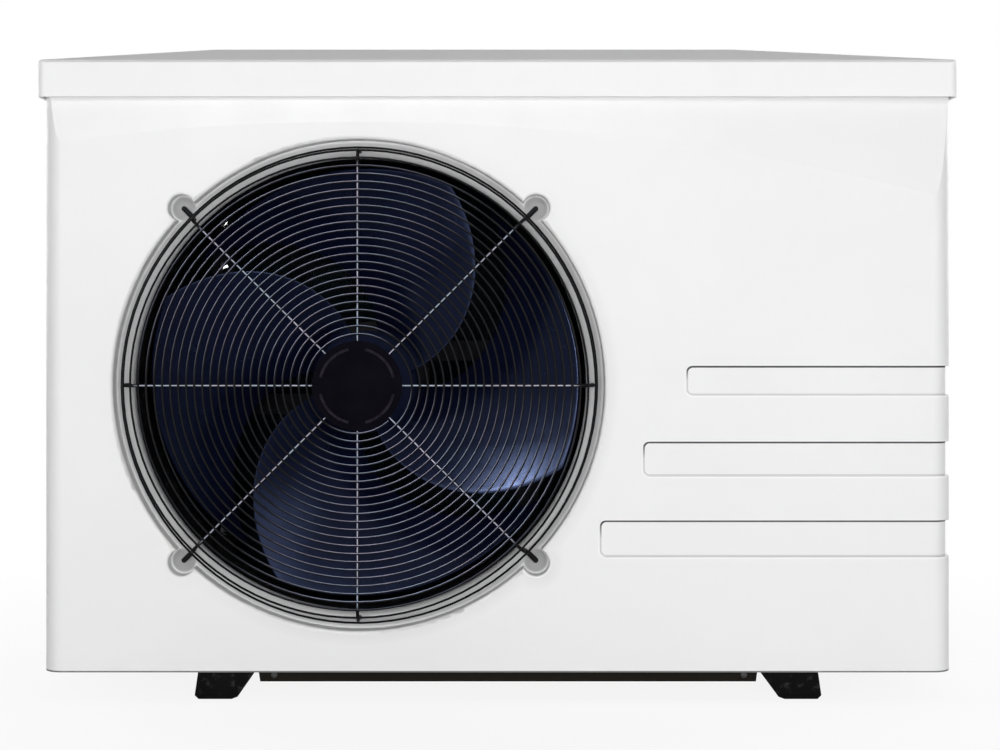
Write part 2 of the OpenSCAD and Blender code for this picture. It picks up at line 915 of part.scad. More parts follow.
module grille_spokes() {
    toe_y = y_floor - spoke_r - 2 * fit;
    root = [washer_r - spoke_root, 0, -y_spoke];
    shoulder = [spoke_wall_r, 0, -y_spoke];
    color("#202026")
        fan_view() {
            for (a = [0:90:270])
                rotate(a)
                    bent_rod([root, shoulder, [spoke_wall_r, 0, fit - y_floor]], spoke_r, [spoke_bend]);
            for (a = [ear_angle:90:360])
                rotate(a) {
                    bent_rod([root, shoulder, [spoke_wall_r, 0, -toe_y], [ear_at, 0, -toe_y]],
                        spoke_r, [spoke_bend, toe_bend]);
                    translate([ear_at - spoke_pad_len, 0, fit - y_floor])
                        linear_extrude(spoke_pad_t) {
                            translate([0, -spoke_pad_w / 2])
                                square([spoke_pad_len, spoke_pad_w]);
                            translate([spoke_pad_len, 0])
                                circle(r = spoke_pad_w / 2);
                        }
                }
            translate([0, 0, -y_spoke - washer_t / 2])
                cylinder(r = washer_r, h = washer_t);
        }
}
arc_count = 4;
arc_r = 40;
arc_w = 3;
arc_angle = 64;
module grille_hub() {
    base = -y_spoke + washer_t / 2;
    plate = -y_face + wire_r + hub_disc_t;
    color("#161618")
        fan_view() {
            translate([0, 0, base])
                cylinder(r = hub_disc_d / 2, h = plate - base, $fn = 96);
            for (i = [0:arc_count - 1])
                rotate(i * 360 / arc_count + (90 - arc_angle) / 2)
                    translate([0, 0, plate])
                        rotate_extrude(angle = arc_angle)
                            translate([arc_r - arc_w, 0])
                                square([arc_w, hub_bead]);
        }
}

// Shroud: a flanged tube round the blades, seated on the back of the recess
shroud_r = mouth_r + wall + fit;
shroud_t = 3;
shroud_flange = 2;
shroud_cover = 57;
shroud_back = y_blade + shroud_cover;
module fan_shroud() {
    color("#1c1d24")
        fan_inward(y_floor + wall)
            rotate_extrude($fn = 180) {
                translate([shroud_r, 0])
                    square([recess_r - shroud_r, shroud_flange]);
                translate([shroud_r, 0])
                    square([shroud_t, shroud_back - y_floor - wall]);
                translate([shroud_r, shroud_back - y_floor - wall - shroud_t])
                    square([3 * shroud_t, shroud_t]);
            }
}

// Fan: swept blades whose trailing edges lie forward, on a hub with a keyed bore
edge_points = 8;
span_points = 9;
root_sink = 5;
boss_wall = 8;
blade_camber = 9;
edge_thin = 0.35;
sweep_mid_r = 155;
sweep_run = 104;
sweep_angle = 40.2;
sweep_slope = 31;
sweep_curve = 4.5;
function along(a, b, t) = a + (b - a) * t;
function trailing(r) = let (x = (r - sweep_mid_r) / sweep_run)
    sweep_angle + sweep_slope * x + sweep_curve * x * x;
function blade_point(i, j, side) = let (
    t = i / span_points,
    s = j / edge_points,
    r = along(hub_r - root_sink, tip_r, t),
    a = trailing(r) + s * along(blade_span_root, blade_span_tip, t),
    depth = s * along(blade_depth_root, blade_depth_tip, t),
    camber = blade_camber * sin(180 * s) * t,
    half = side * blade_t / 2 * along(edge_thin, 1, sin(180 * s))
) [r * cos(a), r * sin(a), -(y_blade + blade_t + depth - camber) + half];
module blade() {
    cols = edge_points + 1;
    rows = span_points + 1;
    size = rows * cols;
    quads = concat(
        [for (i = [0:span_points - 1]) for (j = [0:edge_points - 1])
            [i * cols + j, i * cols + j + 1, (i + 1) * cols + j + 1, (i + 1) * cols + j]],
        [for (i = [0:span_points - 1]) for (j = [0:edge_points - 1])
            [size + (i + 1) * cols + j, size + (i + 1) * cols + j + 1,
                size + i * cols + j + 1, size + i * cols + j]],
        [for (i = [0:span_points - 1])
            [i * cols, (i + 1) * cols, size + (i + 1) * cols, size + i * cols]],
        [for (i = [0:span_points - 1]) let (e = edge_points)
            [(i + 1) * cols + e, i * cols + e, size + i * cols + e, size + (i + 1) * cols + e]],
        [for (j = [0:edge_points - 1])
            [j + 1, j, size + j, size + j + 1]],
        [for (j = [0:edge_points - 1]) let (b = span_points * cols)
            [b + j, b + j + 1, size + b + j + 1, size + b + j]]);
    polyhedron(
        points = [for (side = [1, -1]) for (i = [0:span_points]) for (j = [0:edge_points])
            blade_point(i, j, side)],
        faces = [for (q = quads) for (f = [[q[0], q[1], q[2]], [q[0], q[2], q[3]]]) f]);
}
module fan_rotor() {
    color("#141a3c")
        fan_view()
            difference() {
                union() {
                    translate([0, 0, -hub_back])
                        cylinder(r = hub_r, h = hub_back - hub_front, $fn = 96);
                    for (i = [0:blades - 1])
                        rotate(i * 360 / blades)
                            blade();
                }
                translate([0, 0, -hub_back - eps])
                    cylinder(r = shaft_r + running_fit, h = hub_back - hub_front + 2 * eps);
                translate([0, 0, -hub_back - eps])
                    difference() {
                        cylinder(r = hub_r - 2 * root_sink, h = hub_back - hub_front - 2 * root_sink);
                        cylinder(r = shaft_r + boss_wall, h = hub_back - hub_front);
                    }
            }
}
module fan_nut() {
    color("silver")
        fan_view()
            translate([0, 0, -hub_front])
                difference() {
                    cylinder(r = shaft_d, h = nut_t, $fn = 6);
                    translate([0, 0, -eps])
                        cylinder(r = shaft_r + running_fit, h = nut_t + 2 * eps);
                }
}
module motor_shaft() {
    color("silver")
        fan_view()
            translate([0, 0, -motor_front - shaft_in_motor])
                cylinder(r = shaft_r, h = motor_front + shaft_in_motor - shaft_nose);
}

// Motor with two end bells and four lugs, held on the straps of a two-rail bracket
bell_t = 16;
bell_step = 4;
bell_chamfer = 8;
lug_pad_r = 9;
lug_bar = 10;
module at_lugs() {
    for (sx = [-1, 1])
        for (sz = [-1, 1])
            translate([sx * lug_x, sz * lug_z])
                children();
}
module fan_motor() {
    color("#3a3d42")
        fan_inward(motor_front)
            difference() {
                union() {
                    cylinder(r1 = motor_r - bell_chamfer, r2 = motor_r, h = bell_step, $fn = 96);
                    translate([0, 0, bell_step])
                        cylinder(r = motor_r, h = bell_t, $fn = 96);
                    translate([0, 0, bell_t])
                        cylinder(r = motor_r - bell_step, h = motor_len - 2 * bell_t, $fn = 96);
                    translate([0, 0, motor_len - bell_t])
                        cylinder(r = motor_r, h = bell_t, $fn = 96);
                    translate([0, 0, motor_len - lug_t])
                        linear_extrude(lug_t) {
                            at_lugs()
                                circle(r = lug_pad_r);
                            for (side = [-1, 1])
                                translate([-lug_x, side * lug_z - lug_bar / 2])
                                    square([2 * lug_x, lug_bar]);
                        }
                }
                translate([0, 0, motor_len - lug_t - eps])
                    at_lugs()
                        cylinder(r = screw_hole_r, h = lug_t + 2 * eps);
                translate([0, 0, -eps])
                    cylinder(r = shaft_r + running_fit, h = shaft_in_motor + eps + fit);
            }
}
rail_hole_r = 3;
rail_hole_step = 26;
rail_hole_end = 40;
module rail() {
    block([-rail_w / 2, motor_back, pan_floor], [rail_w / 2, motor_back + rail_t, rail_top]);
    for (x = [-rail_w / 2, rail_w / 2 - rail_t])
        block([x, motor_back, pan_floor], [x + rail_t, motor_back + rail_lip, rail_top]);
}
module motor_bracket() {
    color("silver")
        difference() {
            union() {
                for (side = [-1, 1])
                    translate([fan_x + side * rail_half, 0, 0])
                        rail();
                for (side = [-1, 1])
                    translate([fan_x, motor_back, fan_z + side * lug_z - strap_h / 2])
                        block([-rail_half, 0, 0], [rail_half, rail_t, strap_h]);
            }
            fan_inward(motor_back - eps)
                at_lugs()
                    cylinder(r = screw_hole_r, h = rail_t + 2 * eps);
            for (side = [-1, 1])
                for (z = [pan_floor + rail_hole_end:rail_hole_step:rail_top - rail_hole_r])
                    y_cylinder(fan_x + side * rail_half, motor_back - eps, z, rail_hole_r, rail_t + 2 * eps);
        }
}
screw_head_r = 4.5;
screw_head_t = 4;
screw_tail = 6;
module motor_screws() {
    color("silver")
        fan_inward(motor_back - lug_t)
            at_lugs() {
                cylinder(r = screw_r, h = lug_t + rail_t + screw_tail);
                translate([0, 0, -screw_head_t])
                    cylinder(r = screw_head_r, h = screw_head_t);
            }
}

// Evaporator: an L of finned coil, extruded from its plan
module coil_plan() {
    difference() {
        union() {
            translate([coil_x0 + coil_corner, coil_y0])
                square([coil_x1 - coil_x0 - coil_corner, coil_t]);
            translate([coil_x0, coil_front])
                square([coil_t, coil_y1 - coil_corner - coil_front]);
            intersection() {
                translate([coil_x0 + coil_corner, coil_y1 - coil_corner])
                    circle(r = coil_corner);
                translate([coil_x0, coil_y1 - coil_corner])
                    square(coil_corner);
            }
            translate([coil_x0 + coil_corner - eps, coil_y0])
                square([coil_t - coil_corner + eps, coil_t]);
        }
        for (x = [coil_x0 + coil_t + fin_pitch:fin_pitch:coil_x1 - fin_pitch])
            for (y = [coil_y0 - eps, coil_y1 - fin_notch])
                translate([x, y])
                    square([fin_slot, fin_notch + eps]);
        for (y = [coil_front + fin_pitch:fin_pitch:coil_y0 - fin_pitch])
            for (x = [coil_x0 - eps, coil_x0 + coil_t - fin_notch])
                translate([x, y])
                    square([fin_notch + eps, fin_slot]);
    }
}
module evaporator_fins() {
    color("#7fb0b4")
        translate([0, 0, coil_z0])
            linear_extrude(coil_z1 - coil_z0)
                coil_plan();
}
module evaporator_end_plate() {
    color("silver")
        block([coil_x1, coil_y0, coil_z0], [coil_x1 + sheet, coil_y1, coil_z1]);
}
// Half loops of tube that join the ports in pairs
module evaporator_bends() {
    color("#b87333")
        for (row = [-1, 1])
            for (i = [0:bends - 1])
                translate([coil_x1 + sheet, coil_mid + row * tube_row, coil_z0 + (2 * i + 1.5) * tube_pitch])
                    rotate([90, 0, 0])
                        rotate(-90)
                            rotate_extrude(angle = 180)
                                translate([tube_pitch / 2, 0])
                                    circle(r = tube_d / 2);
}

// Compressor on three grommets, with its accumulator beside it
module compressor_feet() {
    for (a = [90:120:330])
        rotate(a)
            translate([comp_stud_r, 0])
                children();
}
dome = 34;
module compressor() {
    color("#202225")
        translate([comp_x, comp_y, comp_z0]) {
            difference() {
                union() {
                    linear_extrude(comp_foot_t)
                        for (a = [90:120:330])
                            rotate(a) {
                                translate([0, -comp_foot_r])
                                    square([comp_stud_r, 2 * comp_foot_r]);
                                translate([comp_stud_r, 0])
                                    circle(r = comp_foot_r);
                            }
                    translate([0, 0, comp_foot_t])
                        rotate_extrude($fn = 96)
                            intersection() {
                                square([comp_r, compressor_h]);
                                union() {
                                    translate([0, dome])
                                        square([comp_r, compressor_h - 2 * dome]);
                                    square([comp_r - dome, compressor_h]);
                                    for (z = [dome, compressor_h - dome])
                                        translate([comp_r - dome, z])
                                            circle(r = dome);
                                }
                            }
                }
                translate([0, 0, -eps])
                    compressor_feet()
                        cylinder(r = stud_r + fit, h = comp_foot_t + 2 * eps);
            }
        }
}
acc_strap = 8;
acc_strap_w = 20;
module accumulator() {
    color("#202225") {
        translate([acc_x, acc_y, acc_z0])
            rotate_extrude() {
                translate([0, acc_r / 2])
                    square([acc_r, accumulator_h - acc_r]);
                square([acc_r / 2, accumulator_h]);
                intersection() {
                    square([acc_r, accumulator_h]);
                    for (z = [acc_r / 2, accumulator_h - acc_r / 2])
                        translate([acc_r / 2, z])
                            circle(r = acc_r / 2);
                }
            }
        difference() {
            translate([0, 0, (acc_z0 + acc_z1) / 2])
                block([comp_x, acc_y - acc_strap_w / 2, 0], [acc_x, acc_y + acc_strap_w / 2, acc_strap]);
            translate([comp_x, comp_y, 0])
                cylinder(r = comp_r + fit, h = acc_z1, $fn = 96);
        }
    }
}
module compressor_grommets() {
    color("#111111")
        translate([comp_x, comp_y, pan_floor])
            compressor_feet()
                difference() {
                    union() {
                        cylinder(r = grommet_r + grommet_flange, h = grommet_h / 2);
                        cylinder(r = grommet_r, h = grommet_h);
                    }
                    translate([0, 0, -eps])
                        cylinder(r = stud_r + fit, h = grommet_h + 2 * eps);
                }
}
module compressor_nuts() {
    color("silver")
        translate([comp_x, comp_y, pan_floor])
            compressor_feet() {
                cylinder(r = stud_r, h = grommet_h + comp_foot_t + stud_out);
                translate([0, 0, grommet_h + comp_foot_t])
                    cylinder(r = 2 * stud_r, h = stud_nut_t, $fn = 6);
            }
}

// Reversing valve with one port above and three below, and the expansion valve with its drive
module reversing_valve() {
    color("#b5893c") {
        translate([valve_x - valve_len / 2, valve_y, valve_z])
            rotate([0, 90, 0])
                cylinder(r = valve_r, h = valve_len);
        translate([valve_x, valve_y, valve_z])
            cylinder(r = pipe_r + valve_sleeve, h = valve_r + valve_stub);
        for (i = [-1:1])
            translate([valve_x + i * valve_port, valve_y, valve_z - valve_r - valve_stub])
                cylinder(r = pipe_r + valve_sleeve, h = valve_r + valve_stub);
    }
}
module expansion_valve() {
    color("#8d8f94")
        translate([exp_x, exp_y, exp_z]) {
            cylinder(r = exp_r, h = exp_body_h);
            translate([0, 0, exp_body_h])
                cylinder(r = exp_coil_r, h = exp_coil_h);
        }
}

// Copper pipes between the compressor, the valves, the exchanger and the coil
valve_top = valve_z + valve_r + valve_stub;
valve_bottom = valve_z - valve_r - valve_stub;
discharge_z = valve_top + 2 * pipe_bend;
suction_z = valve_bottom - pipe_bend - valve_stub / 2;
suction_back = 36;
suction_y = comp_y + suction_back;
pipe_step = 44;
evap_pipe_z = suction_z - pipe_step;
exchanger_back = valve_y + pipe_step;
exchanger_z = ex_z1 + 2 * pipe_bend;
liquid_lift = 40;
liquid_z = ex_z0 + ex_cap + liquid_lift;
feed_pipe_z = exp_z + exp_body_h / 2;
module copper(points) {
    color("#b87333")
        bent_rod(points, pipe_r, [for (i = [2:len(points) - 1]) pipe_bend]);
}
module discharge_pipe() {
    copper([[comp_x, comp_y, comp_z1], [comp_x, comp_y, discharge_z], [comp_x, valve_y, discharge_z],
        [comp_x, valve_y, valve_top]]);
}
module suction_pipe() {
    copper([[valve_x, valve_y, valve_bottom], [valve_x, valve_y, suction_z], [valve_x, suction_y, suction_z],
        [acc_x, suction_y, suction_z], [acc_x, acc_y, suction_z], [acc_x, acc_y, acc_z1]]);
}
module exchanger_pipe() {
    x = valve_x + valve_port;
    low = valve_bottom - pipe_bend - valve_stub / 3;
    copper([[x, valve_y, valve_bottom], [x, valve_y, low], [x, exchanger_back, low],
        [x, exchanger_back, exchanger_z], [ex_x, exchanger_back, exchanger_z], [ex_x, ex_y, exchanger_z],
        [ex_x, ex_y, ex_z1]]);
}
module evaporator_pipe() {
    x = valve_x - valve_port;
    copper([[x, valve_y, valve_bottom], [x, valve_y, evap_pipe_z], [x, coil_mid, evap_pipe_z],
        [coil_x1 + sheet, coil_mid, evap_pipe_z]]);
}
module liquid_pipe() {
    copper([[ex_x - ex_r - stub_out, ex_y, liquid_z], [exp_x, ex_y, liquid_z], [exp_x, exp_y, exp_z]]);
}
module feed_pipe() {
    copper([[exp_x, exp_y + exp_r, feed_pipe_z], [exp_x, coil_mid, feed_pipe_z],
        [coil_x1 + sheet, coil_mid, feed_pipe_z]]);
}

// Water heat exchanger: an upright vessel with two side ports, closed by a cap at each end
module exchanger_vessel() {
    color("#d8d8d4") {
        translate([ex_x, ex_y, ex_z0 + ex_cap])
            cylinder(r = ex_r - ex_skin, h = exchanger_h - 2 * ex_cap, $fn = 96);
        for (z = [z_inlet, z_outlet])
            y_cylinder(ex_x, ex_y, z, port_r, port_y - ex_y);
        translate([ex_x, ex_y, liquid_z])
            rotate([0, -90, 0])
                cylinder(r = pipe_r + valve_sleeve, h = ex_r + stub_out);
    }
}
module exchanger_caps() {
    color("#2b2b2e")
        for (z = [ex_z0, ex_z1 - ex_cap])
            translate([ex_x, ex_y, z])
                cylinder(r = ex_r, h = ex_cap, $fn = 96);
}

// Water pipes from the vessel's ports through the rear panel to the unions
module at_unions(y) {
    for (z = [z_inlet, z_outlet])
        translate([ex_x, y, z])
            rotate([-90, 0, 0])
                children();
}
module water_pipes() {
    length = y_gasket - port_y;
    color("#e4e4e0")
        at_unions(port_y)
            difference() {
                union() {
                    cylinder(r = water_r, h = length);
                    translate([0, 0, length - collar_t])
                        cylinder(r = collar_r, h = collar_t);
                }
                translate([0, 0, water_wall])
                    cylinder(r = water_r - water_wall, h = length);
            }
}
module union_gaskets() {
    color("#151515")
        at_unions(y_gasket)
            difference() {
                cylinder(r = collar_r, h = gasket_t);
                translate([0, 0, -eps])
                    cylinder(r = water_r - water_wall, h = gasket_t + 2 * eps);
            }
}
socket_fit = 0.15;
tail_wall = 5;
tail_r = water_r + tail_wall;
module union_tails() {
    color("#d5d7d9")
        at_unions(y_tail)
            difference() {
                union() {
                    cylinder(r = collar_r, h = collar_t);
                    cylinder(r = tail_r, h = collar_t + socket_len);
                }
                translate([0, 0, -eps])
                    cylinder(r = water_r - water_wall, h = collar_t + 2 * eps);
                translate([0, 0, collar_t])
                    cylinder(r = water_r + socket_fit, h = socket_len + eps);
            }
}
nut_lip = 8;
nut_len = collar_t + gasket_t + collar_t + nut_lip;
grip_ribs = 12;
grip_r = 2.5;
module union_nuts() {
    color("#2d2f33")
        at_unions(y_collar)
            difference() {
                union() {
                    cylinder(r = nut_r, h = nut_len);
                    for (i = [0:grip_ribs - 1])
                        rotate(i * 360 / grip_ribs)
                            translate([nut_r, 0, 0])
                                cylinder(r = grip_r, h = nut_len);
                }
                translate([0, 0, -eps])
                    cylinder(r = collar_r + fit, h = 2 * collar_t + gasket_t + fit + eps);
                cylinder(r = tail_r + fit, h = nut_len + eps);
            }
}
switch_stem_r = 9;
switch_stem = 16;
switch_size = [30, 26, 34];
module flow_switch() {
    color("#2b2b2e")
        translate([ex_x, (port_y + y_rear_in) / 2, z_inlet]) {
            difference() {
                cylinder(r = switch_stem_r, h = water_r + switch_stem);
                rotate([-90, 0, 0])
                    cylinder(r = water_r + fit, h = 4 * water_r, center = true);
            }
            translate([-switch_size[0] / 2, -switch_size[1] / 2, water_r + switch_stem])
                cube(switch_size);
        }
}

// Electrical box against the partition, with a flanged cover, a board on posts, terminals and a finned
// heat sink that stands in the air stream
module electrical_box() {
    color("silver")
        difference() {
            block([box_x0, box_y0, box_z0], [box_x1, box_y1, box_z1]);
            block([box_x0 + sheet, box_y0 + sheet, box_z0 + sheet],
                [box_x1 - sheet, box_y1 - sheet, box_z1 + eps]);
            block([box_x0 - eps, sink_y0 - fit, sink_z0 - fit],
                [box_x0 + sheet + eps, sink_y1 + fit, sink_z1 + fit]);
        }
}
module electrical_cover() {
    color("gainsboro")
        difference() {
            block([box_x0 + fit, box_y0 - sheet - fit, box_z1 - cover_lip],
                [box_x1 + sheet + fit, box_y1 + sheet + fit, box_z1 + sheet]);
            block([box_x0, box_y0 - fit, box_z1 - cover_lip - eps], [box_x1 + fit, box_y1 + fit, box_z1]);
        }
}
board_margin = 16;
board_t = 1.6;
board_end = 70;
post_h = 10;
post_r = 4;
post_in = 8;
choke = [40, 40, 30];
choke_in = 24;
can_r = 14;
can_h = 46;
can_step = 34;
can_in = 100;
module control_board() {
    x0 = box_x0 + sheet + board_margin;
    x1 = box_x1 - sheet - board_end;
    y0 = box_y0 + sheet + board_margin;
    y1 = box_y1 - sheet - board_margin;
    z = box_z0 + sheet;
    top = z + post_h + board_t;
    color("#1f6b3a") {
        block([x0, y0, z + post_h], [x1, y1, top]);
        for (x = [x0 + post_in, x1 - post_in])
            for (y = [y0 + post_in, y1 - post_in])
                translate([x, y, z])
                    cylinder(r = post_r, h = post_h);
        translate([x0 + choke_in, y0 + choke_in, top])
            cube(choke);
        for (i = [0:2])
            translate([x0 + can_in + i * can_step, y1 - 2 * can_r, top])
                cylinder(r = can_r, h = can_h);
    }
}
poles = 5;
pole_step = 16;
pole_wall = 6;
pole_floor = 10;
terminal_w = 32;
terminal_h = 26;
terminal_in = 50;
terminal_front = 40;
module terminal_block() {
    color("#e8e2d0")
        translate([box_x1 - sheet - terminal_in, box_y0 + terminal_front, box_z0 + sheet])
            difference() {
                cube([terminal_w, poles * pole_step + pole_wall, terminal_h]);
                for (i = [0:poles - 1])
                    translate([pole_wall, pole_wall + i * pole_step, pole_floor])
                        cube([terminal_w, pole_step - pole_wall, terminal_h]);
            }
}
sink_fins = 9;
sink_step = 11;
sink_fin_t = 3;
sink_reach = 34;
sink_out = 2;
sink_in = 8;
sink_forward = 50;
sink_lift = 36;
sink_h = 70;
sink_y0 = y_mid - sink_forward;
sink_y1 = sink_y0 + (sink_fins - 1) * sink_step + sink_fin_t;
sink_z0 = box_z0 + sink_lift;
sink_z1 = sink_z0 + sink_h;
module heat_sink() {
    color("#c9ccd0") {
        block([partition_x - sink_out, sink_y0, sink_z0], [room_x + sheet + sink_in, sink_y1, sink_z1]);
        for (i = [0:sink_fins - 1])
            translate([partition_x - sink_reach, sink_y0 + i * sink_step, sink_z0])
                cube([sink_reach - sink_out, sink_fin_t, sink_h]);
    }
}
module cable_glands() {
    nose = sheet + gland_hex_t;
    color("#141414")
        for (z = [gland_z, gland_z + gland_step])
            translate([gland_x, y_rear_in, z])
                rotate([-90, 0, 0])
                    difference() {
                        union() {
                            translate([0, 0, -gland_tail])
                                cylinder(r = gland_thread, h = gland_tail + nose);
                            for (seat = [-gland_hex_t, sheet])
                                translate([0, 0, seat])
                                    cylinder(r = gland_hex, h = gland_hex_t, $fn = 6);
                            translate([0, 0, nose])
                                cylinder(r1 = gland_hex - 2, r2 = gland_bore + wall, h = gland_cone);
                        }
                        translate([0, 0, -gland_tail - eps])
                            cylinder(r = gland_bore, h = gland_tail + nose + gland_cone + 2 * eps);
                    }
}

// Keypad: a flanged tray set in the side panel, with a window and four spring-back buttons
module keypad_frame() {
    translate([side_face, keypad_y, keypad_z])
        rotate([90, 0, 90])
            children();
}
button_places = [for (i = [0:3]) (i - 1.5) * button_pitch];
keypad_room = button_flange + button_travel + 2 * button_gap;
keypad_back = keypad_recess + keypad_plate + keypad_room + keypad_floor;
module keypad_bezel() {
    w = keypad_w - 2 * fit;
    h = keypad_h - 2 * fit;
    color("#2b2d31")
        keypad_frame()
            difference() {
                union() {
                    translate([-keypad_w / 2 - keypad_rim, -keypad_h / 2 - keypad_rim, 0])
                        cube([keypad_w + 2 * keypad_rim, keypad_h + 2 * keypad_rim, keypad_flange]);
                    translate([-w / 2, -h / 2, -keypad_back])
                        cube([w, h, keypad_back]);
                }
                translate([wall - w / 2, wall - h / 2, -keypad_recess])
                    cube([w - 2 * wall, h - 2 * wall, keypad_recess + keypad_flange + eps]);
                translate([wall - w / 2, wall - h / 2, keypad_floor - keypad_back])
                    cube([w - 2 * wall, h - 2 * wall, keypad_room]);
                for (x = button_places)
                    translate([x, button_row, -keypad_recess - keypad_plate - eps])
                        cylinder(r = button_d / 2 + fit, h = keypad_plate + 2 * eps);
                translate([-display_w / 2, display_rise, -keypad_recess - keypad_plate - eps])
                    cube([display_w, display_h, keypad_plate + 2 * eps]);
            }
}
module keypad_display() {
    color("#0c1418")
        keypad_frame() {
            translate([fit - display_w / 2, display_rise + fit, -keypad_recess - keypad_plate])
                cube([display_w - 2 * fit, display_h - 2 * fit, keypad_plate]);
            translate([-display_w / 2, display_rise, -keypad_recess - keypad_plate])
                block([-display_rim, -display_rim, -display_rim],
                    [display_w + display_rim, display_h + display_rim, 0]);
        }
}
module button(i) {
    color("#d9dbde")
        keypad_frame()
            translate([button_places[i], button_row, -keypad_recess - keypad_plate]) {
                translate([0, 0, -button_gap - button_flange])
                    cylinder(r = button_d / 2, h = keypad_plate + button_gap + button_flange + button_proud);
                translate([0, 0, -button_gap - button_flange])
                    cylinder(r = button_d / 2 + button_rim, h = button_flange);
            }
}
module button_power() {
    button(0);
}
module button_mode() {
    button(1);
}
module button_up() {
    button(2);
}
module button_down() {
    button(3);
}

// Pressure gauge in the rear panel: a cupped case with a spindle, a needle that turns on it, and a lens
needle_gap = 0.6;
needle_t = 0.8;
needle_boss = 2;
needle_boss_r = 4;
needle_w = 2;
needle_tail = 8;
needle_gap_tip = 6;
dial_depth = 3;
gauge_rim = 2;
lens_t = 1.5;
module gauge_frame() {
    translate([gauge_x, rear_face, gauge_z])
        rotate([-90, 0, 0])
            children();
}
module gauge_case() {
    color("#1a1a1c")
        gauge_frame()
            difference() {
                union() {
                    translate([0, 0, -gauge_depth])
                        cylinder(r = gauge_r, h = gauge_depth);
                    cylinder(r = gauge_r + gauge_brim, h = gauge_bezel);
                }
                difference() {
                    translate([0, 0, -dial_depth])
                        cylinder(r = gauge_r - gauge_rim, h = gauge_bezel + dial_depth + eps);
                    translate([0, 0, -dial_depth - eps])
                        cylinder(r = gauge_pin_r, h = needle_gap + needle_boss + eps);
                }
            }
}
module gauge_needle() {
    reach = gauge_r - needle_gap_tip;
    color("#c03020")
        gauge_frame()
            translate([0, 0, needle_gap - dial_depth])
                difference() {
                    union() {
                        cylinder(r = needle_boss_r, h = needle_boss);
                        translate([-needle_w / 2, -reach, 0])
                            cube([needle_w, reach + needle_tail, needle_t]);
                    }
                    translate([0, 0, -eps])
                        cylinder(r = gauge_pin_r + running_fit, h = needle_boss + 2 * eps);
                }
}
module gauge_lens() {
    color("#dfe8ee")
        gauge_frame()
            translate([0, 0, gauge_bezel - lens_t - fit])
                cylinder(r = gauge_r - gauge_rim - fit, h = lens_t);
}

front_panel();
top_cover();
right_panel();
rear_panel();
rear_guard();
left_guard();
corner_post();
base_pan();
foot_left();
foot_right();
base_bar();
drain_spigot();
partition();
grille_spiral();
grille_spokes();
grille_hub();
fan_shroud();
fan_rotor();
fan_nut();
motor_shaft();
fan_motor();
motor_bracket();
motor_screws();
evaporator_fins();
evaporator_end_plate();
evaporator_bends();
compressor();
accumulator();
compressor_grommets();
compressor_nuts();
reversing_valve();
expansion_valve();
discharge_pipe();
suction_pipe();
exchanger_pipe();
evaporator_pipe();
liquid_pipe();
feed_pipe();
exchanger_vessel();
exchanger_caps();
water_pipes();
union_gaskets();
union_tails();
union_nuts();
flow_switch();
electrical_box();
electrical_cover();
control_board();
terminal_block();
heat_sink();
cable_glands();
keypad_bezel();
keypad_display();
button_power();
button_mode();
button_up();
button_down();
gauge_case();
gauge_needle();
gauge_lens();
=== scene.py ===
import json
import math

import bmesh
import bpy
from mathutils import Matrix, Vector


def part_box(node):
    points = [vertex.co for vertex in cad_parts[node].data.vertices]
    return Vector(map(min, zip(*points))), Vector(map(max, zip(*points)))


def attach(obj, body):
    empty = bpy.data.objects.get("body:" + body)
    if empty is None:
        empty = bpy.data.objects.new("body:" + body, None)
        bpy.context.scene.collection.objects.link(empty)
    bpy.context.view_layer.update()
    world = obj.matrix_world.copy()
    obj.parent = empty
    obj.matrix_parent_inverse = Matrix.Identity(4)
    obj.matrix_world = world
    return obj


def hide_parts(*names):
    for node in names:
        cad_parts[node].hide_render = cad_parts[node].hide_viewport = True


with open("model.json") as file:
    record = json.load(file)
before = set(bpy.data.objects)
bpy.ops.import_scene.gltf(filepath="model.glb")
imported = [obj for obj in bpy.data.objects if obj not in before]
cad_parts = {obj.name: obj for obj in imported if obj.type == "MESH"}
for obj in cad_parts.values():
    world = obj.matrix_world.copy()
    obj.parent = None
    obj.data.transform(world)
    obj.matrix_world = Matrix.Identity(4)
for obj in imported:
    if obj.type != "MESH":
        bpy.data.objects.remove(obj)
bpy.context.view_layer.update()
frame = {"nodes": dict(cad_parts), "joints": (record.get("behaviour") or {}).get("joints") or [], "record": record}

nodes = frame["nodes"]
casing = "casing"
joint_at = {j["name"]: Vector(j["pos_m"]) for j in frame["joints"] if "pos_m" in j}


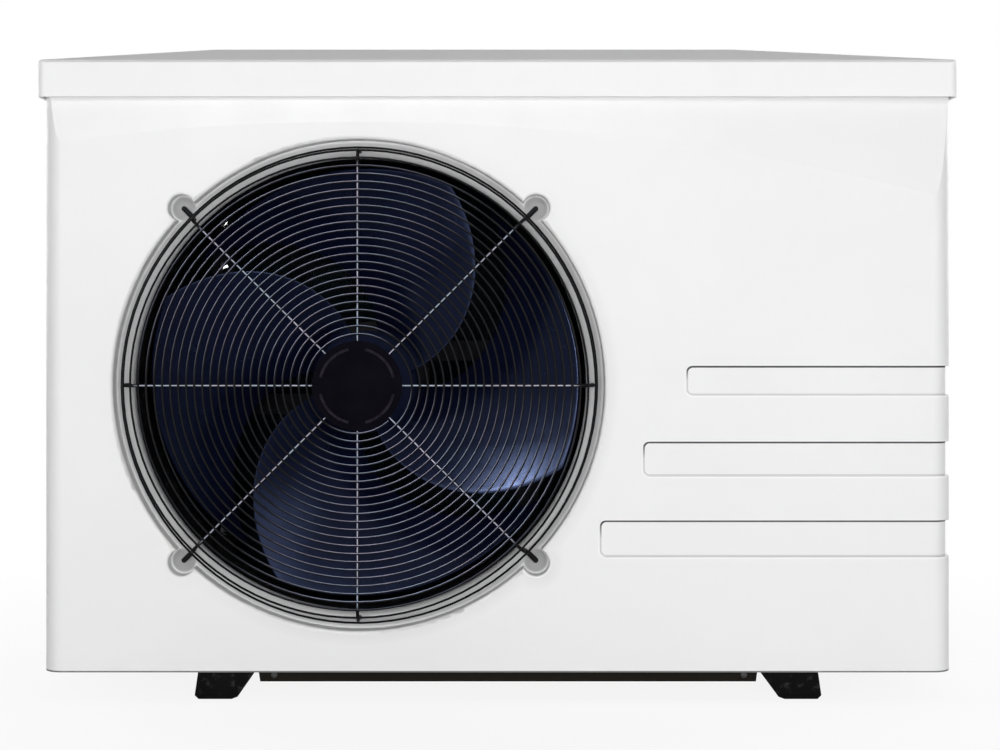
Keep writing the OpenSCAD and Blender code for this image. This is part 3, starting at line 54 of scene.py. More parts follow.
# Materials: a principled shader with procedural textures in front of it, in object coordinates
class Look:
    def __init__(self, name, sockets=None):
        self.material = bpy.data.materials.new(name)
        self.material.use_nodes = True
        self.tree = self.material.node_tree
        self.shader = self.tree.nodes["Principled BSDF"]
        self.place = self.add("ShaderNodeTexCoord").outputs["Object"]
        for socket, value in (sockets or {}).items():
            self.shader.inputs[socket].default_value = value

    def add(self, kind, inputs=None, **settings):
        node = self.tree.nodes.new(kind)
        for key, value in settings.items():
            setattr(node, key, value)
        for key, value in (inputs or {}).items():
            self.feed(node.inputs[key], value)
        return node

    def feed(self, socket, value):
        if isinstance(value, bpy.types.NodeSocket):
            self.tree.links.new(value, socket)
        else:
            socket.default_value = value

    def stretched(self, scale):
        return self.add("ShaderNodeMapping", {"Vector": self.place, "Scale": scale}).outputs["Vector"]

    def noise(self, scale, detail=4.0, vector=None):
        inputs = {"Vector": vector or self.place, "Scale": scale, "Detail": detail}
        return self.add("ShaderNodeTexNoise", inputs).outputs["Fac"]

    def cells(self, scale, output="Color"):
        return self.add("ShaderNodeTexVoronoi", {"Vector": self.place, "Scale": scale}).outputs[output]

    def spread(self, factor, low, high, start=0.3, end=0.7):
        inputs = {"Value": factor, "From Min": start, "From Max": end, "To Min": low, "To Max": high}
        return self.add("ShaderNodeMapRange", inputs).outputs["Result"]

    def calc(self, operation, first, second=0.0):
        return self.add("ShaderNodeMath", {0: first, 1: second}, operation=operation).outputs[0]

    def times(self, first, second):
        return self.calc("MULTIPLY", first, second)

    def most(self, first, second):
        return self.calc("MAXIMUM", first, second)

    def band(self, value, low, high, soft=0.0004):
        """1 where the value lies between low and high, fading to 0 over the soft width outside."""
        above = self.spread(value, 0, 1, low - soft, low)
        below = self.spread(value, 1, 0, high, high + soft)
        return self.times(above, below)

    def tones(self, factor, *stops):
        ramp = self.add("ShaderNodeValToRGB", {"Fac": factor})
        points = ramp.color_ramp.elements
        while len(points) < len(stops):
            points.new(0.5)
        for point, (position, colour) in zip(points, stops):
            point.position = position
            point.color = (*colour, 1)
        return ramp.outputs["Color"]

    def over(self, factor, under, colour):
        mix = self.add("ShaderNodeMix", data_type="RGBA")
        self.feed(mix.inputs["Factor"], factor)
        self.feed(mix.inputs[6], under)
        self.feed(mix.inputs[7], (*colour, 1) if isinstance(colour, tuple) else colour)
        return mix.outputs[2]

    def along(self, axis):
        return self.add("ShaderNodeSeparateXYZ", {"Vector": self.place}).outputs[axis]

    def reach(self, centre):
        """Distance from a line along Y through the centre."""
        apart = self.add("ShaderNodeVectorMath", {0: self.place, 1: centre}, operation="SUBTRACT")
        flat = self.add("ShaderNodeVectorMath", {0: apart.outputs[0], 1: (1, 0, 1)}, operation="MULTIPLY")
        return self.add("ShaderNodeVectorMath", {0: flat.outputs[0]}, operation="LENGTH").outputs["Value"]

    def toward(self, direction):
        """How squarely the surface faces a direction, from -1 to 1."""
        normal = self.add("ShaderNodeNewGeometry").outputs["Normal"]
        inputs = {0: normal, 1: Vector(direction).normalized()}
        return self.add("ShaderNodeVectorMath", inputs, operation="DOT_PRODUCT").outputs["Value"]

    def done(self, colour, roughness, relief, depth):
        self.feed(self.shader.inputs["Base Color"], colour)
        self.feed(self.shader.inputs["Roughness"], roughness)
        bump = self.add("ShaderNodeBump", {"Strength": 1.0, "Distance": depth, "Height": relief})
        self.feed(self.shader.inputs["Normal"], bump.outputs["Normal"])
        return self.material


# Heights of the bump relief that several materials share
fine_relief, mid_relief, coarse_relief = 0.00002, 0.00003, 0.00004

# The front panel's three grooves, each as left end, lower edge and height
grooves = ((0.107, 0.1494, 0.0381), (0.1522, 0.2338, 0.036), (0.1974, 0.3182, 0.0308))

# Where the painted shade inside the fan recess ends, measured outward from the recess edge
recess_shade_edge = (-0.003, -0.0005)

# Depth of the coil, from its outer face inward
coil_depth = 0.04


def grey(value):
    return (value, value, value)


def groove_edge(look, left, bottom, top):
    """Distance from a groove's edge, below 0 inside it; the groove runs on past the right side."""
    corner = 0.007
    across = look.calc("SUBTRACT", left + corner, look.along("X"))
    off_middle = look.calc("ABSOLUTE", look.calc("SUBTRACT", look.along("Z"), (bottom + top) / 2))
    upward = look.calc("SUBTRACT", off_middle, (top - bottom) / 2 - corner)
    a, b = look.most(across, 0.0), look.most(upward, 0.0)
    bend = look.calc("SQRT", look.calc("ADD", look.times(a, a), look.times(b, b)))
    inside = look.calc("MINIMUM", look.most(across, upward), 0.0)
    return look.calc("SUBTRACT", look.calc("ADD", bend, inside), corner)


def groove_lines(look):
    """Painted shadow inside each groove's edge, most at the top, and a painted highlight on the rim outside, most
    at the bottom.
    """
    shadow_w, shadow_full, highlight_from, highlight_to = 0.0017, 0.004, 0.0003, 0.0016
    dark, bright = 0.0, 0.0
    for left, bottom, height in grooves:
        top, middle = bottom + height, bottom + height / 2
        edge, z = groove_edge(look, left, bottom, top), look.along("Z")
        upper = look.spread(z, 0.25, 1.0, middle, top - shadow_full)
        lower = look.spread(z, 1.0, 0.4, bottom, middle)
        # Painted shadow under the groove's top edge; rim is the painted highlight along its outer edge
        groove_shadow = look.times(look.band(edge, -shadow_w, 0.0), upper)
        rim = look.times(look.band(edge, highlight_from, highlight_to), lower)
        dark, bright = look.most(groove_shadow, dark), look.most(rim, bright)
    return dark, bright


def recess_rim(look):
    """Distance from the edge of the fan recess, the mask of the painted shade in its ears, and how far to the
    lower right, which weights the painted shade and highlight round the rim.
    """
    centre, recess_r, ear_at, ear_r = joint_at["fan_spin"], 0.257, 0.262, 0.014
    ring_edge, fade_before, fade_after = (0.246, 0.258), 0.05, 0.2
    ears = 1.0
    for quarter in range(4):
        angle = math.pi / 4 + math.pi / 2 * quarter
        ear = centre + ear_at * Vector((math.cos(angle), 0, math.sin(angle)))
        ears = look.calc("MINIMUM", look.calc("SUBTRACT", look.reach(ear), ear_r), ears)
    from_axis = look.reach(centre)
    rim = look.calc("MINIMUM", look.calc("SUBTRACT", from_axis, recess_r), ears)
    inside, outside_ring = look.spread(ears, 1, 0, *recess_shade_edge), look.spread(from_axis, 0, 1, *ring_edge)
    ear_shade_mask = look.times(inside, outside_ring)
    apart, level = look.calc("SUBTRACT", look.along("X"), look.along("Z")), centre.x - centre.z
    low_right = look.spread(apart, 0.0, 1.0, level - fade_before, level + fade_after)
    return rim, ear_shade_mask, low_right


def moulded_white(name, light, grain, top_dust_and_shade, gloss=0.35, recess=False):
    """White casing with settled dust and painted shade on level faces; on the front panel, painted shade in the
    recess and ears, painted shadow and highlight at the grooves, a painted highlight round the recess lip and a
    dark line along the lowest edge.
    """
    look = Look(name, {"Specular IOR Level": gloss})
    cloud = look.noise(5, 3)
    tone = look.tones(cloud, (0.35, grey(light * 0.985)), (0.65, grey(light)))
    # Settled dust and painted shade darken the level faces, such as the lid's top
    level = look.spread(look.toward((0, 0, 1)), 0, 1, 0.8, 0.99)
    dust_and_shade = look.spread(look.noise(60, 6), top_dust_and_shade * 0.8, top_dust_and_shade)
    tone = look.over(look.times(level, dust_and_shade), tone, (0.22, 0.22, 0.215))
    if recess:
        # dark is the grooves' painted shadow, bright their painted highlight
        dark, bright = groove_lines(look)
        rim, ear_shade_mask, low_right = recess_rim(look)
        # Painted shade on the recess floor, where the grille and the recess walls keep the light off
        recess_shade = look.times(look.spread(rim, 1, 0, *recess_shade_edge), look.spread(look.noise(30, 5), 0.85, 1.0))
        tone = look.over(recess_shade, tone, (0.5, 0.5, 0.505))
        # Painted shade in the ear pockets outside the ring
        tone = look.over(look.times(ear_shade_mask, 0.6), tone, grey(0.2))
        shade_band, shine_band = look.band(rim, 0.002, 0.004, soft=0.012), look.band(rim, 0.0005, 0.002)
        shade = look.times(shade_band, look.times(low_right, 0.12))
        bright = look.most(bright, look.times(shine_band, low_right))
        tone = look.over(shade, tone, grey(0.3))
        tone = look.over(bright, tone, grey(0.95))
        # A dark line along the panel's lowest edge, drawn together with the grooves' painted shadow
        lip, dark_to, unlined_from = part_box("front_panel")[0].z, 0.0013, 0.0019
        line = look.spread(look.along("Z"), 0.85, 0, lip + dark_to, lip + unlined_from)
        tone = look.over(look.most(dark, line), tone, grey(0.05))
    return look.done(tone, look.spread(look.noise(25), 0.4, 0.5), look.noise(grain, 2), fine_relief)


def zinc(name, light):
    """Galvanised sheet with spangle and dull patches."""
    look = Look(name, {"Metallic": 0.9})
    spangle = look.cells(70)
    tone = look.tones(spangle, (0.2, grey(light * 0.8)), (0.8, grey(light)))
    tone = look.over(look.spread(look.noise(12, 6), 0, 0.35, 0.5, 0.75), tone, (0.5, 0.48, 0.44))
    return look.done(tone, look.spread(look.noise(90), 0.3, 0.5), look.noise(500, 2), fine_relief)


def black_moulding(name, base, clean_to, scuffed_from):
    """Black plastic, scuffed except on the lowest few millimetres."""
    look = Look(name, {"Specular IOR Level": 0.06})
    tone = look.tones(look.noise(30, 4), (0.3, grey(base * 0.7)), (0.7, grey(base)))
    above = look.spread(look.along("Z"), 0, 1, clean_to, scuffed_from)
    arc_tone = look.spread(look.noise(110, 8), 0, 0.5, 0.55, 0.75)
    tone = look.over(look.times(above, arc_tone), tone, grey(0.07))
    return look.done(tone, look.spread(look.noise(60), 0.42, 0.6), look.noise(700, 3), coarse_relief)


def coated(name, dark, light, rough, grain=400, depth=fine_relief, metal=0.0, gloss=0.5):
    """Paint or plastic whose tone wanders between a dark and a light colour."""
    look = Look(name, {"Metallic": metal, "Specular IOR Level": gloss})
    tone = look.tones(look.noise(18, 5), (0.3, dark), (0.7, light))
    polish = look.spread(look.noise(70), rough * 0.85, rough * 1.15)
    return look.done(tone, polish, look.noise(grain, 3), depth)


def fan_coating(name, gloss, sheen):
    """Dark blue plastic, glossy on the blades and dull on the hub."""
    look = Look(name, {"Specular IOR Level": gloss, "Specular Tint": (*sheen, 1)})
    tone = look.tones(look.noise(18, 5), (0.3, (0.002, 0.003, 0.012)), (0.7, (0.004, 0.006, 0.022)))
    hub_to, blade_from, hub_rough = 0.0565, 0.064, 0.85
    blade = look.spread(look.reach(joint_at["fan_spin"]), 0, 1, hub_to, blade_from)
    polish = look.times(blade, look.spread(look.noise(70), 0.2, 0.28))
    dull = look.times(look.calc("SUBTRACT", 1.0, blade), hub_rough)
    return look.done(tone, look.calc("ADD", polish, dull), look.noise(300, 3), fine_relief)


def worn_paint(name, paint, bare):
    """Paint with long scratches down to another colour."""
    look = Look(name, {"Specular IOR Level": 0.06})
    tone = look.tones(look.noise(40, 5), (0.3, tuple(c * 0.75 for c in paint)), (0.7, paint))
    scratch = look.noise(60, 7, look.stretched((0.15, 1.0, 2.5)))
    tone = look.over(look.spread(scratch, 0, 0.8, 0.66, 0.74), tone, bare)
    return look.done(tone, look.spread(look.noise(45), 0.35, 0.55), look.noise(350, 3), mid_relief)


def tarnished(name, bright, dull, metal=1.0):
    """Metal that is bright in places and dull in others."""
    look = Look(name, {"Metallic": metal})
    tone = look.tones(look.noise(28, 7), (0.35, bright), (0.7, dull))
    return look.done(tone, look.spread(look.noise(50, 5), 0.22, 0.48), look.noise(260, 4), fine_relief)


def crested_wire(name, pale, lamp_direction, start, end):
    """Black coating with a painted highlight along the crest that faces the lamps, inside the fan opening only;
    further out the wire stays black, as in shade.
    """
    look = Look(name, {"Specular IOR Level": 0.08})
    # Painted highlight where the surface faces the given lamp direction
    crest = look.spread(look.toward(lamp_direction), 0, 1, start, end)
    lit_to_r, unlit_from_r = 0.224, 0.233
    painted_highlight = look.times(crest, look.spread(look.reach(joint_at["fan_spin"]), 1, 0, lit_to_r, unlit_from_r))
    painted_highlight = look.times(painted_highlight, look.spread(look.noise(45, 5), 0.6, 1.0))
    tone = look.tones(look.noise(90, 4), (0.3, (0.002, 0.002, 0.003)), (0.7, (0.005, 0.005, 0.006)))
    cold = (pale[0] * 0.8, pale[1], pale[2])
    tone = look.over(painted_highlight, tone, look.tones(look.noise(22, 2), (0.4, pale), (0.6, cold)))
    return look.done(tone, look.spread(look.noise(70), 0.4, 0.55), look.noise(600, 3), fine_relief)


def hub_coating(name, front):
    """Black with a violet cast, lighter on the raised arcs at the front."""
    look = Look(name, {"Specular IOR Level": 0.01})
    tone = look.tones(look.noise(40, 5), (0.3, (0.0016, 0.0013, 0.0032)), (0.7, (0.0032, 0.0027, 0.006)))
    lighter_to, dark_from = 0.0002, 0.0009
    arcs = look.spread(look.along("Y"), 1, 0, front + lighter_to, front + dark_from)
    arc_tone = look.times(arcs, look.spread(look.noise(150, 6), 0.4, 1.0))
    tone = look.over(arc_tone, tone, (0.022, 0.019, 0.028))
    return look.done(tone, look.spread(look.noise(60), 0.4, 0.52), look.noise(600, 3), mid_relief)


def fin_coating(name, rear):
    """Blue-green coating, darkened by painted shade on the coil's rear leg."""
    look = Look(name, {"Metallic": 0.3, "Specular IOR Level": 0.1})
    streak = look.noise(30, 5, look.stretched((1.0, 1.0, 0.12)))
    tone = look.tones(streak, (0.3, (0.08, 0.2, 0.22)), (0.7, (0.14, 0.3, 0.32)))
    fade = 0.03
    rear_leg = look.spread(look.along("Y"), 0, 1, rear - fade, rear)
    # Painted shade on the rear leg, deep behind the fan
    rear_shade = look.times(rear_leg, look.spread(look.noise(25, 5), 0.88, 0.96))
    tone = look.over(rear_shade, tone, (0.003, 0.0035, 0.01))
    return look.done(tone, look.spread(look.noise(80), 0.35, 0.55), look.noise(420, 3), mid_relief)


def circuit(name):
    """Green board with a pattern of tracks."""
    look = Look(name)
    tracks = look.cells(260, "Distance")
    tone = look.tones(tracks, (0.3, (0.02, 0.12, 0.05)), (0.5, (0.03, 0.2, 0.08)))
    return look.done(tone, look.spread(look.noise(90), 0.3, 0.5), tracks, depth=0.0001)


def window(name, tint, rough):
    """Dark plastic under a clear coat."""
    look = Look(name, {"Coat Weight": 0.6, "Coat Roughness": 0.05})
    tone = look.tones(look.noise(50, 4), (0.3, tuple(c * 0.7 for c in tint)), (0.7, tint))
    polish = look.spread(look.noise(30, 6), rough, rough * 2.5)
    return look.done(tone, polish, look.noise(200, 2), depth=0.000004)


def glass(name):
    """Clear glass with a faint tint and smears."""
    look = Look(name, {"Transmission Weight": 1.0, "IOR": 1.45})
    tone = look.tones(look.noise(40, 5), (0.3, (0.93, 0.96, 0.96)), (0.7, (0.98, 0.99, 0.99)))
    return look.done(tone, look.spread(look.noise(55, 6), 0.01, 0.07), look.noise(120, 2), depth=0.000003)


looks = {
    "white_plastic": moulded_white("white_plastic", 0.93, 900, 0.1, gloss=0.1),
    "front_white": moulded_white("front_white", 0.86, 900, 0.0, recess=True),
    "white_steel": moulded_white("white_steel", 0.84, 420, 0.1),
    "guard_plastic": coated("guard_plastic", grey(0.5), grey(0.56), 0.5, 700),
    "zinc_steel": zinc("zinc_steel", 0.62),
    "black_plastic": black_moulding("black_plastic", 0.0025, 0.003, 0.012),
    "bar_paint": worn_paint("bar_paint", (0.007, 0.005, 0.003), (0.03, 0.025, 0.02)),
    # The wire's painted highlight faces the key lamp, the rod's faces the front
    "grille_wire": crested_wire("grille_wire", (0.5, 0.47, 0.64), (-0.25, -0.8, 0.5), 0.82, 0.97),
    "grille_rod": crested_wire("grille_rod", (0.6, 0.57, 0.7), (0, -1, 0.1), 0.9, 0.985),
    "hub_black": hub_coating("hub_black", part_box("grille_hub")[0].y),
    "fan_plastic": fan_coating("fan_plastic", 0.23, (0.42, 0.55, 1.0)),
    "motor_paint": coated("motor_paint", (0.003, 0.003, 0.006), (0.006, 0.006, 0.011), 0.5, gloss=0.08),
    "coated_fins": fin_coating("coated_fins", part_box("evaporator_fins")[1].y - coil_depth),
    "copper": tarnished("copper", (0.83, 0.42, 0.28), (0.42, 0.2, 0.12)),
    "compressor_paint": coated("compressor_paint", (0.012, 0.012, 0.013), (0.022, 0.022, 0.024), 0.32),
    "rubber": coated("rubber", grey(0.014), grey(0.03), 0.8, 900, 2 * mid_relief),
    "brass": tarnished("brass", (0.78, 0.58, 0.27), (0.45, 0.33, 0.15)),
    "pipe_plastic": coated("pipe_plastic", (0.2, 0.205, 0.215), (0.25, 0.255, 0.265), 0.42, 500),
    "board": circuit("board"),
    "terminal": coated("terminal", (0.28, 0.28, 0.26), (0.36, 0.36, 0.34), 0.5),
    "sink": coated("sink", (0.62, 0.63, 0.64), (0.74, 0.75, 0.76), 0.35, 500, metal=1.0),
    "keypad_plastic": coated(
        "keypad_plastic", (0.03, 0.031, 0.034), (0.042, 0.043, 0.046), 0.5, 1200, coarse_relief
    ),
    "display": window("display", (0.012, 0.02, 0.022), 0.08),
    "buttons": coated("buttons", (0.5, 0.5, 0.51), (0.57, 0.57, 0.58), 0.45, 900),
    "gauge_black": window("gauge_black", (0.012, 0.012, 0.013), 0.2),
    "needle_red": coated("needle_red", (0.5, 0.03, 0.015), (0.6, 0.045, 0.02), 0.4),
    "lens": glass("lens"),
}
screw_zinc = tarnished("screw_zinc", (0.6, 0.6, 0.61), (0.38, 0.37, 0.36))
screw_black = tarnished("screw_black", (0.02, 0.02, 0.02), (0.045, 0.042, 0.04), 0.4)
rivet_pale = coated("rivet_pale", grey(0.86), grey(0.95), 0.1, 300, metal=1.0)
dial_white = coated("dial_white", (0.78, 0.78, 0.75), (0.84, 0.84, 0.82), 0.5, 600)
print_black = coated("print_black", grey(0.01), grey(0.02), 0.5, 600)
print_pale = coated("print_pale", (0.35, 0.42, 0.42), (0.45, 0.52, 0.52), 0.5, 600)

for part in frame["record"]["subparts"]:
    mesh = nodes[part["node"]].data
    mesh.materials.clear()
    mesh.materials.append(looks[part["material_slot"]])
nodes["grille_spokes"].data.materials[0] = looks["grille_rod"]
nodes["grille_hub"].data.materials[0] = looks["hub_black"]
nodes["front_panel"].data.materials[0] = looks["front_white"]
nodes["motor_bracket"].data.materials[0] = looks["motor_paint"]


# Shapes: solids gathered in one mesh that becomes a piece
class Shape:
    def __init__(self):
        self.mesh = bmesh.new()

    def grid(self, rows, wrap_rows=False, wrap_columns=False):
        """A sheet of quads over rows of points."""
        verts = [[self.mesh.verts.new(p) for p in row] for row in rows]
        count, width = len(verts), len(verts[0])
        for i in range(count if wrap_rows else count - 1):
            for j in range(width if wrap_columns else width - 1):
                a, b = verts[i], verts[(i + 1) % count]
                k = (j + 1) % width
                self.mesh.faces.new((a[j], a[k], b[k], b[j]))
        return verts

    def lathe(self, profile, place, steps):
        """A closed profile of (radius, height) points turned about Z."""
        turns = [Matrix.Rotation(math.tau * i / steps, 4, "Z") for i in range(steps)]
        rows = [[place @ turn @ Vector((r, 0, z)) for turn in turns] for r, z in profile]
        self.grid(rows, wrap_rows=True, wrap_columns=True)

    def prism(self, outline, low, high, place):
        """A flat outline raised from low to high."""
        rows = [[place @ Vector((x, y, z)) for x, y in outline] for z in (low, high)]
        bottom, top = self.grid(rows, wrap_columns=True)
        self.mesh.faces.new(bottom[::-1])
        self.mesh.faces.new(top)

    def tube(self, path, radius, sides):
        """A round rod along a path, closed at both ends."""
        rows = []
        for i, point in enumerate(path):
            ahead = path[min(i + 1, len(path) - 1)] - path[max(i - 1, 0)]
            side = ahead.cross(Vector((0, 1, 0))).normalized()
            front = side.cross(ahead).normalized()
            turns = [math.tau * k / sides for k in range(sides)]
            rows.append([point + radius * (math.cos(t) * side + math.sin(t) * front) for t in turns])
        verts = self.grid(rows, wrap_columns=True)
        self.mesh.faces.new(verts[0][::-1])
        self.mesh.faces.new(verts[-1])

    def screw(self, place, radius, height):
        """A pan head with a cross recess, its foot on the place's XY plane."""
        steps, slot, reach, sink = 24, radius * 0.16, radius * 0.58, height * 0.6
        brow = radius * 0.72
        turns = [math.tau * i / steps for i in range(steps)]
        ring = [Vector((math.cos(t), math.sin(t), 0)) for t in turns]
        side = [(radius, 0), (radius, height * 0.45), (radius * 0.92, height * 0.8), (brow, height)]
        rows = [[place @ (r * v + Vector((0, 0, z))) for v in ring] for r, z in side]
        verts = self.grid(rows, wrap_columns=True)
        self.mesh.faces.new(verts[0][::-1])
        quarter = [(reach, -slot), (reach, slot), (slot, slot)]
        cross = [Matrix.Rotation(math.pi / 2 * q, 2) @ Vector(p) for q in range(4) for p in quarter]
        rows = [[place @ Vector((*p, z)) for p in cross] for z in (height, height - sink)]
        walls = self.grid(rows, wrap_columns=True)
        self.mesh.faces.new(walls[1])
        rims = [
            self.mesh.edges.get((loop[i], loop[(i + 1) % len(loop)]))
            for loop in (verts[-1], walls[0])
            for i in range(len(loop))
        ]
        bmesh.ops.triangle_fill(self.mesh, use_beauty=True, edges=rims)

    def piece(self, name, body, look, stands_for=(), soft_angle=35):
        """The finished mesh as a piece that rides on a body."""
        bmesh.ops.recalc_face_normals(self.mesh, faces=self.mesh.faces)
        for face in self.mesh.faces:
            face.smooth = True
        for edge in self.mesh.edges:
            if len(edge.link_faces) == 2 and edge.calc_face_angle() > math.radians(soft_angle):
                edge.smooth = False
        data = bpy.data.meshes.new(name)
        self.mesh.to_mesh(data)
        self.mesh.free()
        data.materials.append(look)
        made = bpy.data.objects.new(name, data)
        bpy.context.scene.collection.objects.link(made)
        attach(made, body)
        if stands_for:
            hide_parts(*stands_for)


def facing(origin, outward, up=Vector((0, 0, 1))):
    """A frame at origin whose Z points outward and whose Y points up."""
    z = Vector(outward).normalized()
    x = up.cross(z).normalized()
    y = z.cross(x)
    return Matrix.Translation(origin) @ Matrix((x, y, z)).transposed().to_4x4()


def oblong(left, right, bottom, top):
    """Corners of a rectangle."""
    return [(left, bottom), (right, bottom), (right, top), (left, top)]


def arc_band(first_r, second_r, start, end, steps):
    """Outline of a band along one radius from start to end, in degrees, and back on the other."""
    turns = [math.radians(start + (end - start) * i / steps) for i in range(steps + 1)]
    there = [(first_r * math.cos(a), first_r * math.sin(a)) for a in turns]
    back = [(second_r * math.cos(a), second_r * math.sin(a)) for a in reversed(turns)]
    return there + back


# The fan's frame: X to the right, Y up and Z towards the front, on the fan axis
fan_frame = facing(joint_at["fan_spin"], (0, -1, 0))

# Points closer than this are merged
same_point = 1e-6


def spiral_wire():
    """The round wire of the grille, wound as a two-centre spiral from the recess floor to the disc."""
    wire_r, pitch, outer, rim_step, bend = 0.00115, 0.0083, 0.248, 0.002, 0.01695
    low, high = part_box("grille_spiral")
    face, foot = -low.y - wire_r, -high.y + wire_r
    start = math.radians(-44.3)
    half_turns, steps, sides = 50, 48, 10

    def radius(k):
        """Distance from the axis after k half turns."""
        return outer + rim_step * (2 - k) / 2 if k <= 2 else outer - pitch * (k - 2) / 2

    def drop(k):
        """How far the wire lies behind the grille's face: it climbs in the first turn, then rounds over."""
        if k < 2:
            return bend + (face - foot - bend) * (2 - k) / 2
        over = max(0.0, radius(k) - outer + bend)
        return bend - math.sqrt(max(0.0, bend**2 - over**2))

    path = []
    for k in range(half_turns):
        r0, r1, z0, z1 = radius(k), radius(k + 1), face - drop(k), face - drop(k + 1)
        turn = Matrix.Rotation(start + math.pi * k, 4, "Z")
        middle = Matrix.Translation(((r0 - r1) / 2, 0, (z0 + z1) / 2))
        tilt = Matrix.Rotation(math.atan2(z1 - z0, r0 + r1), 4, "Y")
        reach = math.hypot(r0 + r1, z1 - z0) / 2
        for i in range(steps):
            t = math.pi * i / steps
            point = Vector((reach * math.cos(t), reach * math.sin(t), 0))
            path.append(fan_frame @ turn @ middle @ tilt @ point)
    shape = Shape()
    shape.tube(path, wire_r, sides)
    shape.piece("spiral_wire", casing, looks["grille_wire"], ["grille_spiral"])


def fan_wheel():
    """Four swept blades with thin rounded edges on a hollow hub."""
    hub_r, tip_r, sink, thick = 0.056, 0.235, 0.005, 0.004
    front, hub_front, hub_back = 0.129175, 0.123175, 0.057175
    spans, chords = 30, 36
    middle_r, half_span = 0.155, 0.104
    trail_angle, trail_sweep, trail_bend = 40.2, 31, 4.5
    chord_angle, chord_gain = 64, 14
    chord_depth, depth_gain = 0.062, 0.03
    camber_h, edge_share, edge_thick = 0.009, 0.03, 0.35

    def blade_point(t, s, side):
        """A point t of the way out along the span and s along the chord, on the front or back face."""
        r = hub_r - sink + (tip_r - hub_r + sink) * t
        x = (r - middle_r) / half_span
        trailing = trail_angle + trail_sweep * x + trail_bend * x * x
        angle = math.radians(trailing + s * (chord_angle + chord_gain * t))
        depth = s * (chord_depth + depth_gain * t)
        camber = camber_h * math.sin(math.pi * s) * t
        edge = min(s, 1 - s, (1 - t) * 2) / edge_share
        round_edge = math.sqrt(max(0.0, 1 - (1 - min(edge, 1)) ** 2))
        half = side * thick / 2 * (edge_thick + (1 - edge_thick) * math.sin(math.pi * s)) * round_edge
        z = front - thick - depth + camber + half
        return fan_frame @ Vector((r * math.cos(angle), r * math.sin(angle), z))

    def spaced(i, count):
        return 0.5 - 0.5 * math.cos(math.pi * i / count)

    shape = Shape()
    for blade in range(4):
        turn = fan_frame @ Matrix.Rotation(math.pi / 2 * blade, 4, "Z") @ fan_frame.inverted()
        rows = []
        for i in range(spans + 1):
            t = math.sin(math.pi / 2 * i / spans)
            there = [blade_point(t, spaced(j, chords), 1) for j in range(chords + 1)]
            back = [blade_point(t, spaced(j, chords), -1) for j in range(chords - 1, 0, -1)]
            rows.append([turn @ p for p in there + back])
        root = shape.grid(rows, wrap_columns=True)[0]
        shape.mesh.faces.new(root)
    bore_r, boss_r, inner_r, flat_r, brow_r = 0.0061, 0.014, hub_r - 0.005, hub_r - 0.012, hub_r - 0.004
    bore_front, brow, shoulder, floor = (hub_front - d for d in (0.004, 0.001, 0.006, 0.01))
    hub = [(bore_r, bore_front), (boss_r, hub_front), (flat_r, hub_front), (brow_r, brow)]
    hub += [(hub_r, shoulder), (hub_r, hub_back), (inner_r, hub_back), (inner_r, floor)]
    hub += [(boss_r, floor), (boss_r, hub_back), (bore_r, hub_back)]
    shape.lathe(hub, fan_frame, steps=72)
    bmesh.ops.remove_doubles(shape.mesh, verts=shape.mesh.verts, dist=same_point)
    shape.piece("fan_wheel", "fan", looks["fan_plastic"], ["fan_rotor"], soft_angle=50)


def coil_fins():
    """Thin fins, close together, along the L of the coil."""
    low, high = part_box("evaporator_fins")
    depth, pitch, thick, wave = coil_depth, 0.0026, 0.0005, 0.0032
    shape = Shape()

    def fin(place):
        steps = 5
        edge = [(depth * i / steps, wave * (i % 2)) for i in range(steps + 1)]
        outline = edge + [(x, y + thick) for x, y in reversed(edge)]
        shape.prism(outline, low.z, high.z, place)

    rear = int((high.x - low.x - depth) / pitch)
    for i in range(rear):
        x = low.x + depth + i * pitch
        place = Matrix.Translation((x + wave + thick, high.y - depth, 0))
        fin(place @ Matrix.Rotation(math.pi / 2, 4, "Z"))
    left = int((high.y - depth - low.y - pitch) / pitch)
    for i in range(left):
        fin(Matrix.Translation((low.x, low.y + i * pitch, 0)))
    corner, root, longest = 16, 0.004, depth * 1.12
    pivot = Vector((low.x + depth, high.y - depth, 0))
    for i in range(corner + 1):
        angle = math.pi / 2 + math.pi / 2 * i / corner
        reach = min(depth / max(abs(math.cos(angle)), abs(math.sin(angle))), longest)
        turn = Matrix.Translation(pivot) @ Matrix.Rotation(angle, 4, "Z")
        shape.prism(oblong(root, reach, -thick / 2, thick / 2), low.z, high.z, turn)
    shape.piece("coil_fins", casing, looks["coated_fins"], ["evaporator_fins"])


